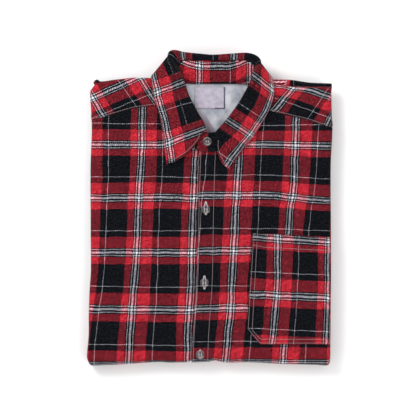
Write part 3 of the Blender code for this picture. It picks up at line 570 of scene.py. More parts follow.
def flannel(name, shade=1.0):
    """Brushed twill: each point is about half its warp's yarn and half its weft's."""
    nodes = Nodes(name)
    cloth = nodes.add("UVMap", uv_map="cloth").outputs[0]
    across, up = nodes.axes(cloth)[:2]
    fine = nodes.vector("MULTIPLY", cloth, (REPEAT, REPEAT, 0))
    streaks = {0: fine, "Rotation": (0, 0, math.radians(-40)), "Scale": (1.1, 4.2, 1)}
    turned = nodes.add("Mapping", streaks, vector_type="TEXTURE").outputs[0]
    # The lines wander a little, as in cloth that has been washed.
    slip = nodes.spread(nodes.noise(fine, 0.9), 0.3, 0.7, -0.004, 0.004)
    yarns = []
    for line, scale in ((across, 0.05), (up, 0.065)):
        sway = nodes.spread(nodes.noise(fine, scale, 1.0), 0.3, 0.7, -0.007, 0.007)
        line = nodes.math("ADD", line, nodes.math("ADD", slip, sway))
        yarns.append(yarn_ramp(nodes, nodes.math("FRACT", line)))
    rib_turns = REPEAT / WALE * math.tau / math.hypot(1, WALE_SLOPE)
    ribs = nodes.math("MULTIPLY_ADD", up, -WALE_SLOPE, across)
    rib = nodes.math("SINE", nodes.math("MULTIPLY", ribs, rib_turns))
    thread = nodes.math("SINE", nodes.math("MULTIPLY", across, REPEAT / THREAD_PITCH * math.tau))
    lean = nodes.spread(nodes.noise(turned, 1.0, 2.0, 0.6), 0.3, 0.7, 0.34, 0.66)
    mixed = nodes.mix(nodes.math("MULTIPLY_ADD", rib, 0.24, lean), *yarns)
    # Ribs, specks, clouds and worn streaks each shade it.
    # A shade below 1 darkens the whole cloth evenly: painted shade, as on the hidden inside layers.
    level = nodes.spread(rib, -1.0, 1.0, 0.9 * shade, 1.1 * shade)
    for pattern, start, low, high in (
        (nodes.noise(fine, 0.5, 3.0, 0.7), 0.32, 0.78, 1.2),
        (nodes.noise(fine, 0.05), 0.3, 0.9, 1.07),
        (nodes.noise(turned, 0.55, 3.0, 0.6), 0.32, 0.78, 1.2),
    ):
        level = nodes.math("MULTIPLY", level, nodes.spread(pattern, start, 1 - start, low, high))
    lit = nodes.mix(1.0, mixed, nodes.grey(level), "MULTIPLY")
    # The nap's loose ends catch the light on the dark yarn.
    lint = nodes.spread(nodes.noise(fine, 0.42, 3.0, 0.75), 0.38, 0.68, 0.0, 0.12)
    lit = nodes.vector("MINIMUM", nodes.vector("ADD", lit, nodes.grey(lint)), (0.94, 0.94, 0.94))
    fuzz = nodes.noise(fine, 2.3, 3.0, 0.65)
    relief = nodes.math("MULTIPLY_ADD", rib, 0.35, nodes.math("MULTIPLY_ADD", thread, 0.12, fuzz))
    nodes.set(
        colour=nodes.add("Gamma", {0: lit, 1: 2.2}).outputs[0],
        roughness=nodes.spread(fuzz, 0.2, 0.8, 0.84, 0.98),
        normal=nodes.bump(relief, 0.00022, 0.9),
        sheen=0.06,
        sheen_roughness=0.45,
        specular=0.05,
    )
    return nodes.material


def lining_cloth():
    nodes = Nodes("grey_lining")
    place = nodes.place()
    cloud = nodes.noise(place, 60.0, 3.0)
    colour = nodes.tints(nodes.spread(cloud, 0.36, 0.64), (142, 146, 156), (190, 190, 198))
    # Beside the stand the thin cloth lies double, and the flannel under it warms its colour; the
    # band also has painted shade, darker towards the bottom where the collar shades it, and paler
    # near the top.
    x, y = nodes.axes(place)[:2]
    (ax, ay), (bx, by) = px(193.5, 90.6), px(215.5, 131.8)
    length = math.hypot(bx - ax, by - ay)
    nx, ny = (by - ay) / length, -(bx - ax) / length
    away = nodes.math("MULTIPLY_ADD", x, nx, -(ax * nx + ay * ny) * MM)
    away = nodes.math("MULTIPLY_ADD", y, ny, away)
    # Painted shade: the band's colour runs from dark at the bottom to pale at the top.
    band_shade = nodes.tints(nodes.spread(y, 0.112, 0.142), (138, 124, 136), (184, 192, 200))
    colour = nodes.mix(nodes.spread(away, -0.0012, 0.0012, 0.0, 0.9), colour, band_shade)
    softness = nodes.bump(nodes.noise(place, 90.0), 0.0006, 0.5)
    nodes.set(
        colour=colour,
        roughness=nodes.spread(cloud, 0.2, 0.8, 0.62, 0.75),
        normal=nodes.bump(nodes.wave(place, 420.0, 0.6), 0.00008, 0.6, softness),
        specular=0.3,
        sheen=0.1,
    )
    return nodes.material


def tape():
    nodes = Nodes("label_tape")
    place = nodes.place()
    worn = nodes.noise(place, 180.0, 3.0)
    colour = nodes.tints(nodes.spread(worn, 0.3, 0.7), (156, 149, 164), (178, 171, 184))
    # It is darker, in navy, along one side and round its lower corner.
    x, y = nodes.axes(place)[:2]
    side, low = LABEL_CENTRE[0] + LABEL_SIZE[0] / 2, LABEL_CENTRE[1] - LABEL_SIZE[1] / 2
    at_side = nodes.math("GREATER_THAN", x, (side - 1.3) * MM)
    at_corner = nodes.math("GREATER_THAN", x, (side - 13) * MM)
    at_low = nodes.math("LESS_THAN", y, (low + 1.2) * MM)
    navy_edge = nodes.math("MAXIMUM", at_side, nodes.math("MULTIPLY", at_low, at_corner))
    nodes.set(
        colour=nodes.mix(navy_edge, colour, linear((62, 58, 92))),
        roughness=nodes.spread(worn, 0.2, 0.8, 0.5, 0.65),
        normal=nodes.bump(nodes.wave(place, 300.0, 0.3, bands_direction="Y"), 0.00012, 0.7),
        specular=0.35,
        sheen=0.1,
    )
    return nodes.material


def thread_finish(name, colour):
    nodes = Nodes(name)
    ply = nodes.noise(nodes.place(), 2600.0)
    nodes.set(
        colour=nodes.tints(nodes.spread(ply, 0.3, 0.7), [c * 0.82 for c in colour], colour),
        roughness=nodes.spread(ply, 0.2, 0.8, 0.5, 0.7),
        normal=nodes.bump(ply, 0.0001, 0.5),
        specular=0.3,
        sheen=0.1,
    )
    return nodes.material


def resin():
    """Clear smoky resin, faintly clouded and polished: what is under it shows through."""
    nodes = Nodes("button_resin")
    swirl = nodes.noise(nodes.place(), 300.0, 3.0, 0.6)
    colour = nodes.tints(nodes.spread(swirl, 0.35, 0.65), (40, 38, 42), (96, 92, 95))
    # Painted highlight: the rim is paler where it slopes towards the collar, the side the light
    # catches.
    slope = nodes.axes(nodes.add("NewGeometry").outputs["Normal"])[1]
    nodes.set(
        colour=nodes.mix(nodes.spread(slope, 0.15, 0.6), colour, linear((216, 206, 208))),
        roughness=nodes.spread(swirl, 0.2, 0.8, 0.2, 0.32),
        normal=nodes.bump(swirl, 0.00005, 0.5),
        specular=0.8,
        coat=1.0,
        coat_roughness=0.16,
        alpha=0.42,
    )
    return nodes.material


FINISHES = {
    "plaid_flannel": flannel("plaid_flannel"),
    # The hidden layers' flannel is the same cloth made darker: painted shade.
    "flannel_inside": flannel("flannel_inside", 0.86),
    "grey_lining": lining_cloth(),
    "label_tape": tape(),
    "button_resin": resin(),
}
THREAD = thread_finish("topstitch_thread", (158, 140, 145))
HOLE_THREAD = thread_finish("buttonhole_thread", (206, 198, 200))
DARK_THREAD = thread_finish("dark_red_thread", (104, 40, 50))

# ---- meshes ----


def stands_for(piece, node):
    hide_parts(node)


def new_piece(name, points, faces, material, uv=None, soft_edge=None):
    """An object from points in mm. uv is one pair for each point."""
    mesh = bpy.data.meshes.new(name)
    mesh.from_pydata((np.asarray(points, float) * MM).tolist(), [], faces)
    if uv is not None:
        layer = mesh.uv_layers.new(name="cloth")
        corner = np.empty(len(mesh.loops), np.int32)
        mesh.loops.foreach_get("vertex_index", corner)
        layer.data.foreach_set("uv", np.asarray(uv, np.float32)[corner].ravel())
    shape = bmesh.new()
    shape.from_mesh(mesh)
    bmesh.ops.remove_doubles(shape, verts=shape.verts, dist=1e-7)
    bmesh.ops.recalc_face_normals(shape, faces=shape.faces)
    shape.to_mesh(mesh)
    shape.free()
    mesh.shade_smooth()
    if soft_edge:
        mesh.set_sharp_from_angle(angle=math.radians(soft_edge))
    mesh.materials.append(material)
    piece = bpy.data.objects.new(name, mesh)
    bpy.context.scene.collection.objects.link(piece)
    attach(piece, "root")
    return piece


def unit(a):
    return a / np.maximum(np.linalg.norm(a, axis=-1, keepdims=True), 1e-9)


def normals_of(grid):
    return unit(np.cross(np.gradient(grid, axis=0), np.gradient(grid, axis=1)))


def flat_uv(x, y):
    return together(x, y) / REPEAT


def facing(normals, sign, *place):
    """The normals, turned so that the one at this place looks up (sign 1) or down (-1)."""
    return normals * (sign * np.sign(normals[place][2]))


def thickened(grid, thick, place):
    """Settled grids half a thickness either side of a middle surface, first the one that is
    higher at this place."""
    normal = facing(normals_of(grid), 1, *place) * thick / 2
    return tuple(settle(*np.moveaxis(side, -1, 0)) for side in (grid + normal, grid - normal))


def rim_of(rows, columns):
    """Row and column of each point round the border of a grid."""
    border = [(0, c) for c in range(columns)] + [(r, columns - 1) for r in range(1, rows)]
    border += [(rows - 1, c) for c in range(columns - 2, -1, -1)]
    border += [(r, 0) for r in range(rows - 2, 0, -1)]
    return np.array(border).T


def shell_parts(outer, inner, uv, start, soft):
    """Points, faces and UVs of a closed shell between two grids, with a rounded rim."""
    rows, columns = outer.shape[:2]
    r, c = rim_of(rows, columns)
    within = np.clip(r, 1, rows - 2), np.clip(c, 1, columns - 2)
    middle = (outer[r, c] + inner[r, c]) / 2
    thick = np.linalg.norm(outer[r, c] - inner[r, c], axis=-1, keepdims=True)
    outer, inner = outer.copy(), inner.copy()
    for grid in (outer, inner):
        way = grid[within] - grid[r, c]
        reach = np.minimum(soft * thick, 0.45 * np.linalg.norm(way, axis=-1, keepdims=True))
        grid[r, c] = lerp(grid[r, c] + unit(way) * reach, middle, 0.1)
    points = np.concatenate([outer.reshape(-1, 3), inner.reshape(-1, 3), middle])
    flat = uv.reshape(-1, 2)
    index = start + np.arange(rows * columns).reshape(rows, columns)
    quads = together(index[:-1, :-1], index[:-1, 1:], index[1:, 1:], index[1:, :-1]).reshape(-1, 4)
    ring = start + 2 * rows * columns + np.arange(len(r))
    top = index[r, c]
    bottom = top + rows * columns
    after = np.roll(np.arange(len(r)), -1)
    upper = together(top, ring, ring[after], top[after])
    lower = together(ring, bottom, bottom[after], ring[after])
    faces = np.concatenate([quads, quads[:, ::-1] + rows * columns, upper, lower]).tolist()
    return points, faces, np.concatenate([flat, flat, uv[r, c]])


def shell(name, node, slot, *grids, soft=0.3):
    """One piece from one or more (outer, inner, uv) grids."""
    points, faces, uvs = [], [], []
    for outer, inner, uv in grids:
        made = shell_parts(outer, inner, uv, sum(map(len, points)), soft)
        points.append(made[0])
        faces += made[1]
        uvs.append(made[2])
    uvs = np.concatenate(uvs)
    stands_for(new_piece(name, np.concatenate(points), faces, FINISHES[slot], uvs), node)


def ring_quads(rows, columns):
    """Faces between rows of points, each row closed on itself."""
    index = np.arange(rows * columns).reshape(rows, columns)
    after = np.roll(index, -1, axis=1)
    return together(index[:-1], after[:-1], after[1:], index[1:]).reshape(-1, 4).tolist()


# ---- stitches ----


def capsule():
    """A unit stitch along X: its points and faces."""
    rings = ((-1.0, 0.25), (-0.82, 0.72), (-0.4, 1.0), (0.4, 1.0), (0.82, 0.72), (1.0, 0.25))
    turns = np.arange(6) * math.tau / 6
    points = [together(x, r * np.cos(turns), r * np.sin(turns)) for x, r in rings]
    count = len(rings) * 6
    caps = [list(range(6))[::-1], list(range(count - 6, count))]
    return np.concatenate(points), ring_quads(len(rings), 6) + caps


class Thread:
    """Stitches gathered into one piece."""

    def __init__(self):
        self.points, self.faces, self.count = [], [], 0
        self.template, self.template_faces = capsule()

    def stitch(self, a, b, normal, radius=0.3, raised=0.1):
        """From a to b on a surface with this normal, sunk so that raised of it shows above."""
        a, b, normal = (np.asarray(v, float) for v in (a, b, normal))
        half = np.linalg.norm(b - a) / 2
        along = (b - a) / (2 * half)
        side = unit(np.cross(normal, along))
        top = np.cross(along, side)
        x, y, z = (self.template[:, i : i + 1] for i in range(3))
        bow = 0.12 * (1 - 0.55 * x**2)
        centre = (a + b) / 2 + top * raised
        self.points.append(centre + x * half * along + y * radius * side + (z * radius + bow) * top)
        self.faces += [[i + self.count for i in face] for face in self.template_faces]
        self.count += len(self.template)

    def along(self, path, normals=UP, length=2.7, space=0.45, **sizes):
        """A row of stitches down a path of points."""
        path = np.asarray(path, float)
        normals = np.broadcast_to(np.asarray(normals, float), path.shape)
        way = np.concatenate([[0], np.cumsum(np.linalg.norm(np.diff(path, axis=0), axis=1))])
        count = max(int(way[-1] / (length + space)), 1)
        pitch = way[-1] / count

        def at(values, s):
            return np.array([np.interp(s, way, values[:, i]) for i in range(3)])

        for i in range(count):
            start, end = i * pitch + space / 2, (i + 1) * pitch - space / 2
            normal = unit(at(normals, (start + end) / 2))
            self.stitch(at(path, start), at(path, end), normal, **sizes)

    def make(self, name, material):
        piece = new_piece(name, np.concatenate(self.points), self.faces, material)


def groove(off, half=0.9, deep=0.32):
    """How far a row of stitches draws the cloth in, at this distance from the row."""
    return deep * bell(off, half)


# ---- the fronts ----

PLACKET_STITCH = (1.8, PLACKET - 0.6)  # rows, from the placket's edge
HEM_STITCH = 7.0
BESIDE_PLACKET = 7.0  # the columns near the placket go this far past it
UNDER_PLACKET = -6.0  # and on the other front, this far out from under it
FACE_COLUMNS, TURN_COLUMNS, FLAP_COLUMNS = 73, 14, 5


def close_to(values, *around):
    """More columns where a row of stitches or a step needs them."""
    extra = [a + d for a in around for d in (-1.2, -0.5, 0.0, 0.5, 1.2)]
    return np.unique(np.round(np.concatenate([values, extra]), 3))


class Front:
    """One front, from its inner edge out to the side fold and behind, and from the seams at the
    top round the bottom to the hem. side is the part's side."""

    def __init__(self, side):
        self.side, self.sign = side, SIGN[side]
        if side == "right":
            self.start = PLACKET + BESIDE_PLACKET
            near = close_to(np.linspace(0, self.start, 15), *PLACKET_STITCH, PLACKET + 1)
            self.near = near[(near >= 0) & (near <= self.start)]
        else:
            self.start = UNDER_PLACKET
            self.near = np.linspace(UNDERLAP_WIDTH, self.start, 15)
        self.shares = np.linspace(0, 1, FACE_COLUMNS + 1)[1:]
        self.turns = np.linspace(0, math.pi, TURN_COLUMNS + 1)[1:]
        self.flaps = np.linspace(0, FLAP, FLAP_COLUMNS + 1)[1:]
        # The x of each column on the seam at the top.
        inner = placket_x(-front_top(placket_x(-78.0) + self.near)) + self.near
        edge = self.sign * SIDE_X
        tangent = side_tangent(side, edge, -front_top(edge))
        behind = np.full(TURN_COLUMNS + FLAP_COLUMNS, tangent)
        x = self.seam_x = np.concatenate([inner, lerp(inner[-1], tangent, self.shares), behind])
        # How far down the cloth each point lies, closer together by the hem's stitches.
        top, start = GAP / 2 - front_top(x), -bottom_tangent(x)
        end, hem = start + BOTTOM_ROUND, run_on_tail(x, HEM.read("y", x))
        close = 1 - np.array([12, 9, 8, 7.5, 7, 6.5, 6, 4, 2, 0.9, 0]) / 320
        tail = np.unique(np.round(np.concatenate([np.linspace(0, 1, 130)[1:-8], close]), 5))
        rows = [lerp(top, start, t) for t in np.linspace(0, 1, 150)]
        rows += [lerp(start, end, t) for t in np.linspace(0, 1, 19)[1:]]
        rows += [lerp(end, hem, t) for t in tail]
        self.runs = np.array(rows)
        self.to_hem = hem - self.runs

    def grid(self, inner):
        """Points of the outer or the inner side, and each one's x with the cloth laid out flat."""
        runs, n = self.runs, len(self.near)
        face = slice(n, n + FACE_COLUMNS)
        turn = slice(face.stop, face.stop + TURN_COLUMNS)
        flap = slice(turn.stop, None)
        table_x = np.broadcast_to(self.seam_x, runs.shape)
        lift = PLACKET_LIFT * (1 - tail_share(table_x, runs)[:, :n])
        x, deep, wall = np.zeros(runs.shape), np.zeros(runs.shape), np.full(runs.shape, WALL)
        x[:, :n] = placket_x(runs[:, :n]) + self.near
        if self.side == "right":
            stands = 1 - smooth(self.near, PLACKET, PLACKET + 2)
            dip = sum(groove(self.near - row) for row in PLACKET_STITCH)
            deep[:, :n] = dip - lift * stands
            wall[:, :n] = lerp(WALL, PLACKET_WALL, stands) - 0.6 * dip
        else:
            under = smooth(self.near, UNDER_PLACKET, 0)
            deep[:, :n] = (PLACKET_WALL + GAP - lift) * under
        tangent = side_tangent(self.side, self.sign * SIDE_X, runs[:, -1])[:, None]
        x[:, face] = lerp(placket_x(runs[:, face]) + self.start, tangent, self.shares)
        radius = FOLD_R - (WALL if inner else 0)
        x[:, turn] = tangent + self.sign * radius * np.sin(self.turns)
        x[:, flap] = tangent - self.sign * self.flaps
        deep = deep + groove(self.to_hem - HEM_STITCH, 1.0, 0.35) + (wall if inner else 0)
        deep[:, turn] = FOLD_R - radius * np.cos(self.turns)
        deep[:, flap] = FOLD_R + radius
        y, z = down_the_stack(table_x, runs, deep)
        flat_x = x.copy()
        flat_x[:, turn] = tangent + self.sign * FOLD_R * self.turns
        flat_x[:, flap] = tangent + self.sign * (FOLD_ROUND + self.flaps)
        return dimpled(settle(x, y, z)), flat_x

    def plaid(self, flat_x):
        """UVs by the cloth laid out flat."""
        runs = self.runs
        x = flat_x - placket_x(runs) + placket_x(np.minimum(runs, 200.0))
        warp, weft, sags, *spans = FRONT_PLAID[self.side]
        sag, *others = (sags.read(name, PX_Y + runs / PX) for name in sags.names[1:])
        for other, span in zip(others, spans):
            sag = lerp(sag, other, smooth(x, *span))
        if self.side == "left":
            sag = sag + 1.1 * smooth(x, -70, -20) * smooth(-runs, -40, 20)
        return together(warp_of(warp, x, np.maximum(-runs, -200.0)), weft_of(weft, PX * sag - runs))

    def make(self, name, node):
        self.outer, flat_x = self.grid(False)
        inner, _ = self.grid(True)
        self.normals = normals_of(self.outer)
        shell(name, node, "plaid_flannel", (self.outer, inner, self.plaid(flat_x)))


def on_face(x, y, high):
    """A point on the upper face, that much above it."""
    return settle(x, y, STACK + high)


# ---- the yoke ----

# For each shoulder, the plaid's lines across it and along it, and the ways in which they count up.
YOKE_PLAID = {
    "left": (
        (
            (GROUP, (141.1, 78.9), (154.5, 100.6)),
            (1 + THIN, (119.4, 81.5), (136.7, 107.0)),
            (1 + GROUP, (91.4, 95.5), (104.1, 116.6)),
        ),
        (-0.9, 0.4),
        ((GROUP, (96.5, 96.1), (129.0, 81.5)), (1 + THIN, (113.1, 109.5), (137.9, 99.3))),
    ),
    "right": (
        (
            (GROUP, (326.2, 125.7), (331.9, 115.9)),
            (1 + THIN, (307.8, 118.8), (321.9, 98.1)),
            (1 + GROUP, (274.6, 110.7), (292.9, 88.8)),
        ),
        (-0.85, -0.5),
        ((GROUP, (309.5, 89.5), (327.3, 95.8)), (1 + THIN, (287.1, 101.9), (312.4, 111.3))),
    ),
}
YOKE_WEFT_WAY = (0.2, 0.9)
# Beside the collar the right shoulder's weft drops, and past its second roll across is the
# plaid's coordinate along it.
YOKE_TURN = Table(
    "x drop across",
    """75 9 1.81; 84 8.7 1.87; 97 6.1 1.95; 103 5.8 1.985; 109 5 2.14; 119 1.8 2.21; 129 0.2 2.27
160 0 2.46""",
)
YOKE_FLAT_X = 126.0  # past this the columns close up towards the side fold
YOKE_STITCH = 1.3
YOKE_LAP = 0.55  # its seam edge stands above the front by this
CORNER_SHARP = {"left": 0.0, "right": 0.85}  # 0 a round corner, 1 a square one


def yoke_panel(side):
    """A shoulder: from its seam with the front, over the shoulder fold and behind, with the corner
    folded as a pillow's edge is."""
    sign = SIGN[side]
    flat_x, inner_x = sign * YOKE_FLAT_X, NECK_LEFT if side == "left" else NECK_RIGHT
    corner = EDGES.read(side, shoulder_tangent(sign * SIDE_X)) - sign * FOLD_R
    # Columns: the x where each starts, its share of the way to the side fold, and how far past.
    columns = [(x, 0, 0) for x in np.linspace(inner_x, flat_x, 46)]
    columns += [(flat_x, t, 0) for t in np.linspace(0, 1, 15)[1:-1]]
    columns += [(flat_x, 1, FOLD_ROUND * t) for t in np.linspace(0, 1, 15)]
    columns += [(flat_x, 1, FOLD_ROUND + FLAP * t) for t in (0.35, 0.7, 1.0)]
    start, share, past_x = np.array(columns).T
    # Rows: the share of the way up the face, how far round the fold, and how far back behind.
    close = np.array([1.2, 2.0, 2.6, 3.2, 4.0]) / 40
    rows = [(t, 0, 0) for t in np.unique(np.concatenate([np.linspace(0, 1, 30), close]))]
    rows += [(1, FOLD_ROUND * t, 0) for t in np.linspace(0, 1, 16)[1:]]
    rows += [(1, FOLD_ROUND, t) for t in np.linspace(0, 1, 9)[1:]]
    up_face, past_y, behind = np.array(rows).T[..., None]
    table_x = lerp(start, sign * SIDE_X, share)
    seam, top = front_top(table_x) + GAP / 2, shoulder_tangent(table_x)
    y = lerp(seam, top, up_face)
    x = lerp(start, EDGES.read(side, y) - sign * FOLD_R, share)
    # The cloth behind is mitred where the two folds meet.
    tucked = np.minimum(np.maximum(past_x - FOLD_ROUND, 0), MITRE * (top - y))
    room = np.abs(corner) - np.abs(lerp(start, corner, share))
    back = np.minimum(YOKE_RETURN, MITRE * np.maximum(room, 0)) * behind
    lap = YOKE_LAP * bell(y - seam, 6.0) - groove(y - seam - YOKE_STITCH)
    lap = np.where(past_y == 0, lap, 0)
    way = np.maximum(past_x, past_y)
    length = np.maximum(lerp(np.hypot(past_x, past_y), way, CORNER_SHARP[side]), 1e-9)
    turn = np.minimum(way / FOLD_R, math.pi)
    grids = []
    for inward in (0.0, WALL):
        radius = FOLD_R - inward + lap
        reach = (radius * np.sin(turn) - tucked - back) / length
        z = STACK - FOLD_R + radius * np.cos(turn)
        grids.append(settle(x + sign * past_x * reach, y + past_y * reach, z))
    flat_x, flat_y = x + sign * past_x, y + past_y + back
    warp, warp_way, weft = YOKE_PLAID[side]
    across = by_lines(flat_x, flat_y, warp, warp_way)
    if side == "right":
        # The cloth turns over gently here, beside the collar.
        bent = flat_y + YOKE_TURN.read("drop", flat_x) * smooth(flat_y, 140, 156)
        beyond = smooth(flat_y - SECOND_ROLL.read("y", flat_x), -0.4, 0.4)
        roll = GROUP + 0.016 - 0.346 * smooth(flat_x, 97, 108) + (flat_y - 165.6) / REPEAT
        up = lerp(by_lines(flat_x, bent, weft, YOKE_WEFT_WAY), roll, beyond)
        across = lerp(across, YOKE_TURN.straight("across", flat_x), beyond)
    else:
        up = by_lines(flat_x, flat_y, weft, YOKE_WEFT_WAY)
    return *grids, together(across, up)


def yoke_band():
    """The strip behind the neck, from the top of the fold to its return."""
    xs = np.linspace(NECK_LEFT + 0.4, NECK_RIGHT - 0.4, 40)
    rows = [(angle, 0) for angle in np.linspace(BAND_START, math.pi, 10)]
    rows += [(math.pi, back) for back in np.linspace(0, YOKE_RETURN, 9)[1:]]
    angle, back = np.array(rows).T[..., None]
    grids = []
    for radius in (FOLD_R, FOLD_R - WALL):
        y = shoulder_tangent(xs) + radius * np.sin(angle) - back
        grids.append(settle(xs, y, STACK - FOLD_R + radius * np.cos(angle)))
    return *grids, flat_uv(xs, -(FOLD_R * angle + back))


# ---- inside the neck ----

LINING_SPAN = (76.0, 162.6)


def make_lining():
    y = np.linspace(*LINING_SPAN, 70)[:, None]
    x = lerp(LINING_EDGES.read("left", y), LINING_EDGES.read("right", y), np.linspace(0, 1, 70))
    # It sags a little in the neck, and its creases run down from the seam, clear of the label.
    rise = 1.7 * creased(LINING_CREASES, x, y) * between(y, 78, 92, 152, 162)
    clear = smooth(np.hypot((x - LABEL_CENTRE[0]) / 24, (y - LABEL_CENTRE[1]) / 18), 0.9, 1.5)
    z = LINING_Z + (0.5 * (rise + np.sqrt(rise * rise + 1.4)) - 0.6) * clear
    outer, inner = (settle(x, y, z - inward) for inward in (0, WALL))
    shell("yoke_lining_cloth", "yoke_lining", "grey_lining", (outer, inner, flat_uv(x, y)))


def make_label(thread):
    width, height = LABEL_SIZE
    u, v = np.linspace(-0.5, 0.5, 40), np.linspace(-0.5, 0.5, 30)[:, None]
    x, y = LABEL_CENTRE[0] + width * u, LABEL_CENTRE[1] + height * v
    # Its ends curl up a little, most of all at the corners.
    curl = 0.25 * np.abs(2 * u) ** 4 * (0.4 + 0.6 * np.abs(2 * v) ** 2)
    low = LINING_Z + GAP + curl
    # Its top and bottom are folded under, and a welt shows along each.
    welt = 0.22 * bell(height * (np.abs(v) - 0.5) + 2.0, 1.1)
    outer = settle(x, y, low + 0.8 * LABEL_WALL + 0.1 * np.cos(2.2 * math.pi * u) + welt)
    inner = settle(x, y, low + 0.05)
    shell("neck_label_tape", "neck_label", "label_tape", (outer, inner, flat_uv(x, y)))
    # It is sewn down along its bottom and its top.
    for row in (1, 28):
        path = outer[row, np.linspace(1, 38, 24).astype(int)]
        path[:, 0] = LABEL_CENTRE[0] + width * np.linspace(-0.46, 0.46, 24)
        thread.along(path, length=1.6, space=0.5, radius=0.16, raised=0.05)


# ---- the collar ----

# On each leaf, the plaid's lines across it, and where the strip behind the neck has them.
LEAF_LEFT_WARP = (
    (4 + GROUP, (157.9, 91.9), (182.9, 82.5)),
    (5 + THIN, (159.7, 111.6), (189.8, 102.8)),
    (5 + GROUP, (164.8, 144.0), (205.3, 129.0)),
)
LEAF_RIGHT_WARP = (
    (THIN, (216.9, 151.3), (232.7, 161.6)),
    (GROUP, (226.8, 120.4), (248.4, 134.1)),
    (1 + THIN, (238.4, 103.2), (264.2, 119.6)),
    (1 + GROUP, (251.8, 75.1), (272.5, 90.7)),
)
LEAF_BACK_WARP = ((182.0, 3 + GROUP), (213.0, 3 + THIN), (233.8, 2 + GROUP))
STAND_BACK_WARP = ((199.7, 1 + GROUP), (230.3, 1 + THIN), (250.3, GROUP))
# How far inside the leaf's edge the stripe group along it runs, and the repeats' scale there.
LEAF_EDGE = Table(
    "station group scale",
    """0 8.2 1; 1.2 8 1; 3 6.3 1.08; 5 6.8 1; 6 5.2 1.08; 7 5 1.05; 12.8 5.5 1.1; 14 4.4 1.2
16 4.6 1.2; 18 6 1.2; 19.3 6.6 1.25; 20.3 7 1.02; 21 7.5 1""",
)
LEAF_STITCH = 2.1
TAB = slice(196, 216)  # the rows of the stand's grid with stitches on its upper tab


def strip_warp(x, anchors):
    """Plaid coordinate along the strip behind the neck, where it falls as x grows."""
    places = [px(place, 0)[0] for place, _ in anchors]
    return -stripes(x, places, [-share for _, share in anchors])


def turned_back(value, start, end):
    """value as it is up to start, and from there back and forth between start and end."""
    span = end - start
    folded = start + np.abs((value - start + span) % (2 * span) - span)
    return np.where(value > start, folded, value)


def leaf_grid(stations):
    """The leaf's middle surface: up from its seam, round its roll and down to its edge."""
    seam = LEAF.point("seam_x seam_y seam_z", stations)
    edge = LEAF.point("edge_x edge_y edge_z", stations)
    heading, lean = (np.radians(LEAF.read(c, stations)) for c in ("heading", "lean"))
    strip, rise, bow = (LEAF.read(c, stations)[:, None] for c in ("strip", "rise", "bow"))
    level = together(np.cos(heading), np.sin(heading), 0)
    sideways = together(-np.sin(heading), np.cos(heading), 0)
    slope, steep = np.sin(lean)[:, None], np.cos(lean)[:, None]
    up, out = level * slope + UP * steep, level * steep - UP * slope
    start = seam + up * LEAF_SEAM_GAP
    centre = start + up * strip + out * LEAF_ROLL
    section = [start + up * strip * t for t in (0.0, 0.3, 0.65)]
    for angle in np.linspace(math.pi, 0.12, 15):
        section.append(centre + LEAF_ROLL * (out * math.cos(angle) + up * math.sin(angle)))
    for t in np.concatenate([np.linspace(0, 0.9, 56), [0.93, 0.955, 0.975, 0.99, 1.0]]):
        hump = 4 * t * (1 - t)
        # The fall waves a little along its edge.
        wave = 0.35 * np.sin(stations * 2.1 + 0.8)[:, None] * t * t * (1 - smooth(t, 0.85, 1.0))
        fall = lerp(centre + out * LEAF_ROLL, edge, t)
        section.append(fall + UP * (rise * hump + wave) + sideways * bow * hump)
    return np.stack(section, axis=1)


def leaf_plaid(outer, from_edge, stations):
    group, scale = (LEAF_EDGE.read(column, stations)[:, None] for column in ("group", "scale"))
    along_edge = GROUP + (from_edge - group) * scale / REPEAT
    x, y, s = outer[..., 0], outer[..., 1], stations[:, None]
    left = by_lines(x, y, LEAF_LEFT_WARP, (0.3, 0.95))
    right = by_lines(x, y, LEAF_RIGHT_WARP, (0.5, -0.85))
    back = strip_warp(outer[:, 6:7, 0], LEAF_BACK_WARP)
    across = lerp(lerp(back, left, 1 - smooth(s, 6.6, 7.9)), right, smooth(s, 12.5, 13.7))
    # The nap hides the thin line that would run along the wearer's left leaf, and dims the
    # other's, which shows on black alone.
    plain = turned_back(along_edge, 1.005, 1.1)
    dimmed = turned_back(along_edge + 0.014 * (along_edge > 1.111), 1.14, 1.49)
    return together(across, np.where((s > 13.4) | (across % 1 > 0.51), plain, dimmed))


def make_leaf(thread):
    stations = np.linspace(0, LEAF_STATIONS, 250)
    outer, inner = thickened(leaf_grid(stations), LEAF_WALL, (30, 40))
    steps = np.linalg.norm(np.diff(outer, axis=1), axis=-1)
    from_edge = np.cumsum(steps[:, ::-1], axis=1)[:, ::-1]
    from_edge = np.concatenate([from_edge, np.zeros((len(stations), 1))], axis=1)
    uv = leaf_plaid(outer, from_edge, stations)
    shell("collar_leaf_cloth", "collar_leaf", "plaid_flannel", (outer, inner, uv), soft=0.4)
    normals = facing(normals_of(outer), 1, 20, 40)
    path = np.array(
        [
            [np.interp(LEAF_STITCH, distance[::-1], row[::-1, k]) for k in range(3)]
            for distance, row in zip(from_edge, outer)
        ]
    )
    nearest = np.argmin(np.abs(from_edge - LEAF_STITCH), axis=1)
    keep = slice(8, -8)
    thread.along(path[keep], normals[np.arange(len(stations)), nearest][keep])
    # Down each front edge, the same way in from it.
    for end, step in ((0, 1), (len(stations) - 1, -1)):
        ends, end_normals = [], []
        for j in range(24, outer.shape[1] - 1):
            way_in = np.linalg.norm(outer[end::step, j] - outer[end, j], axis=-1)
            i = end + step * int(np.argmax(way_in > LEAF_STITCH))
            if from_edge[i, j] > LEAF_STITCH:
                ends.append(outer[i, j])
                end_normals.append(normals[i, j])
        thread.along(ends, end_normals)


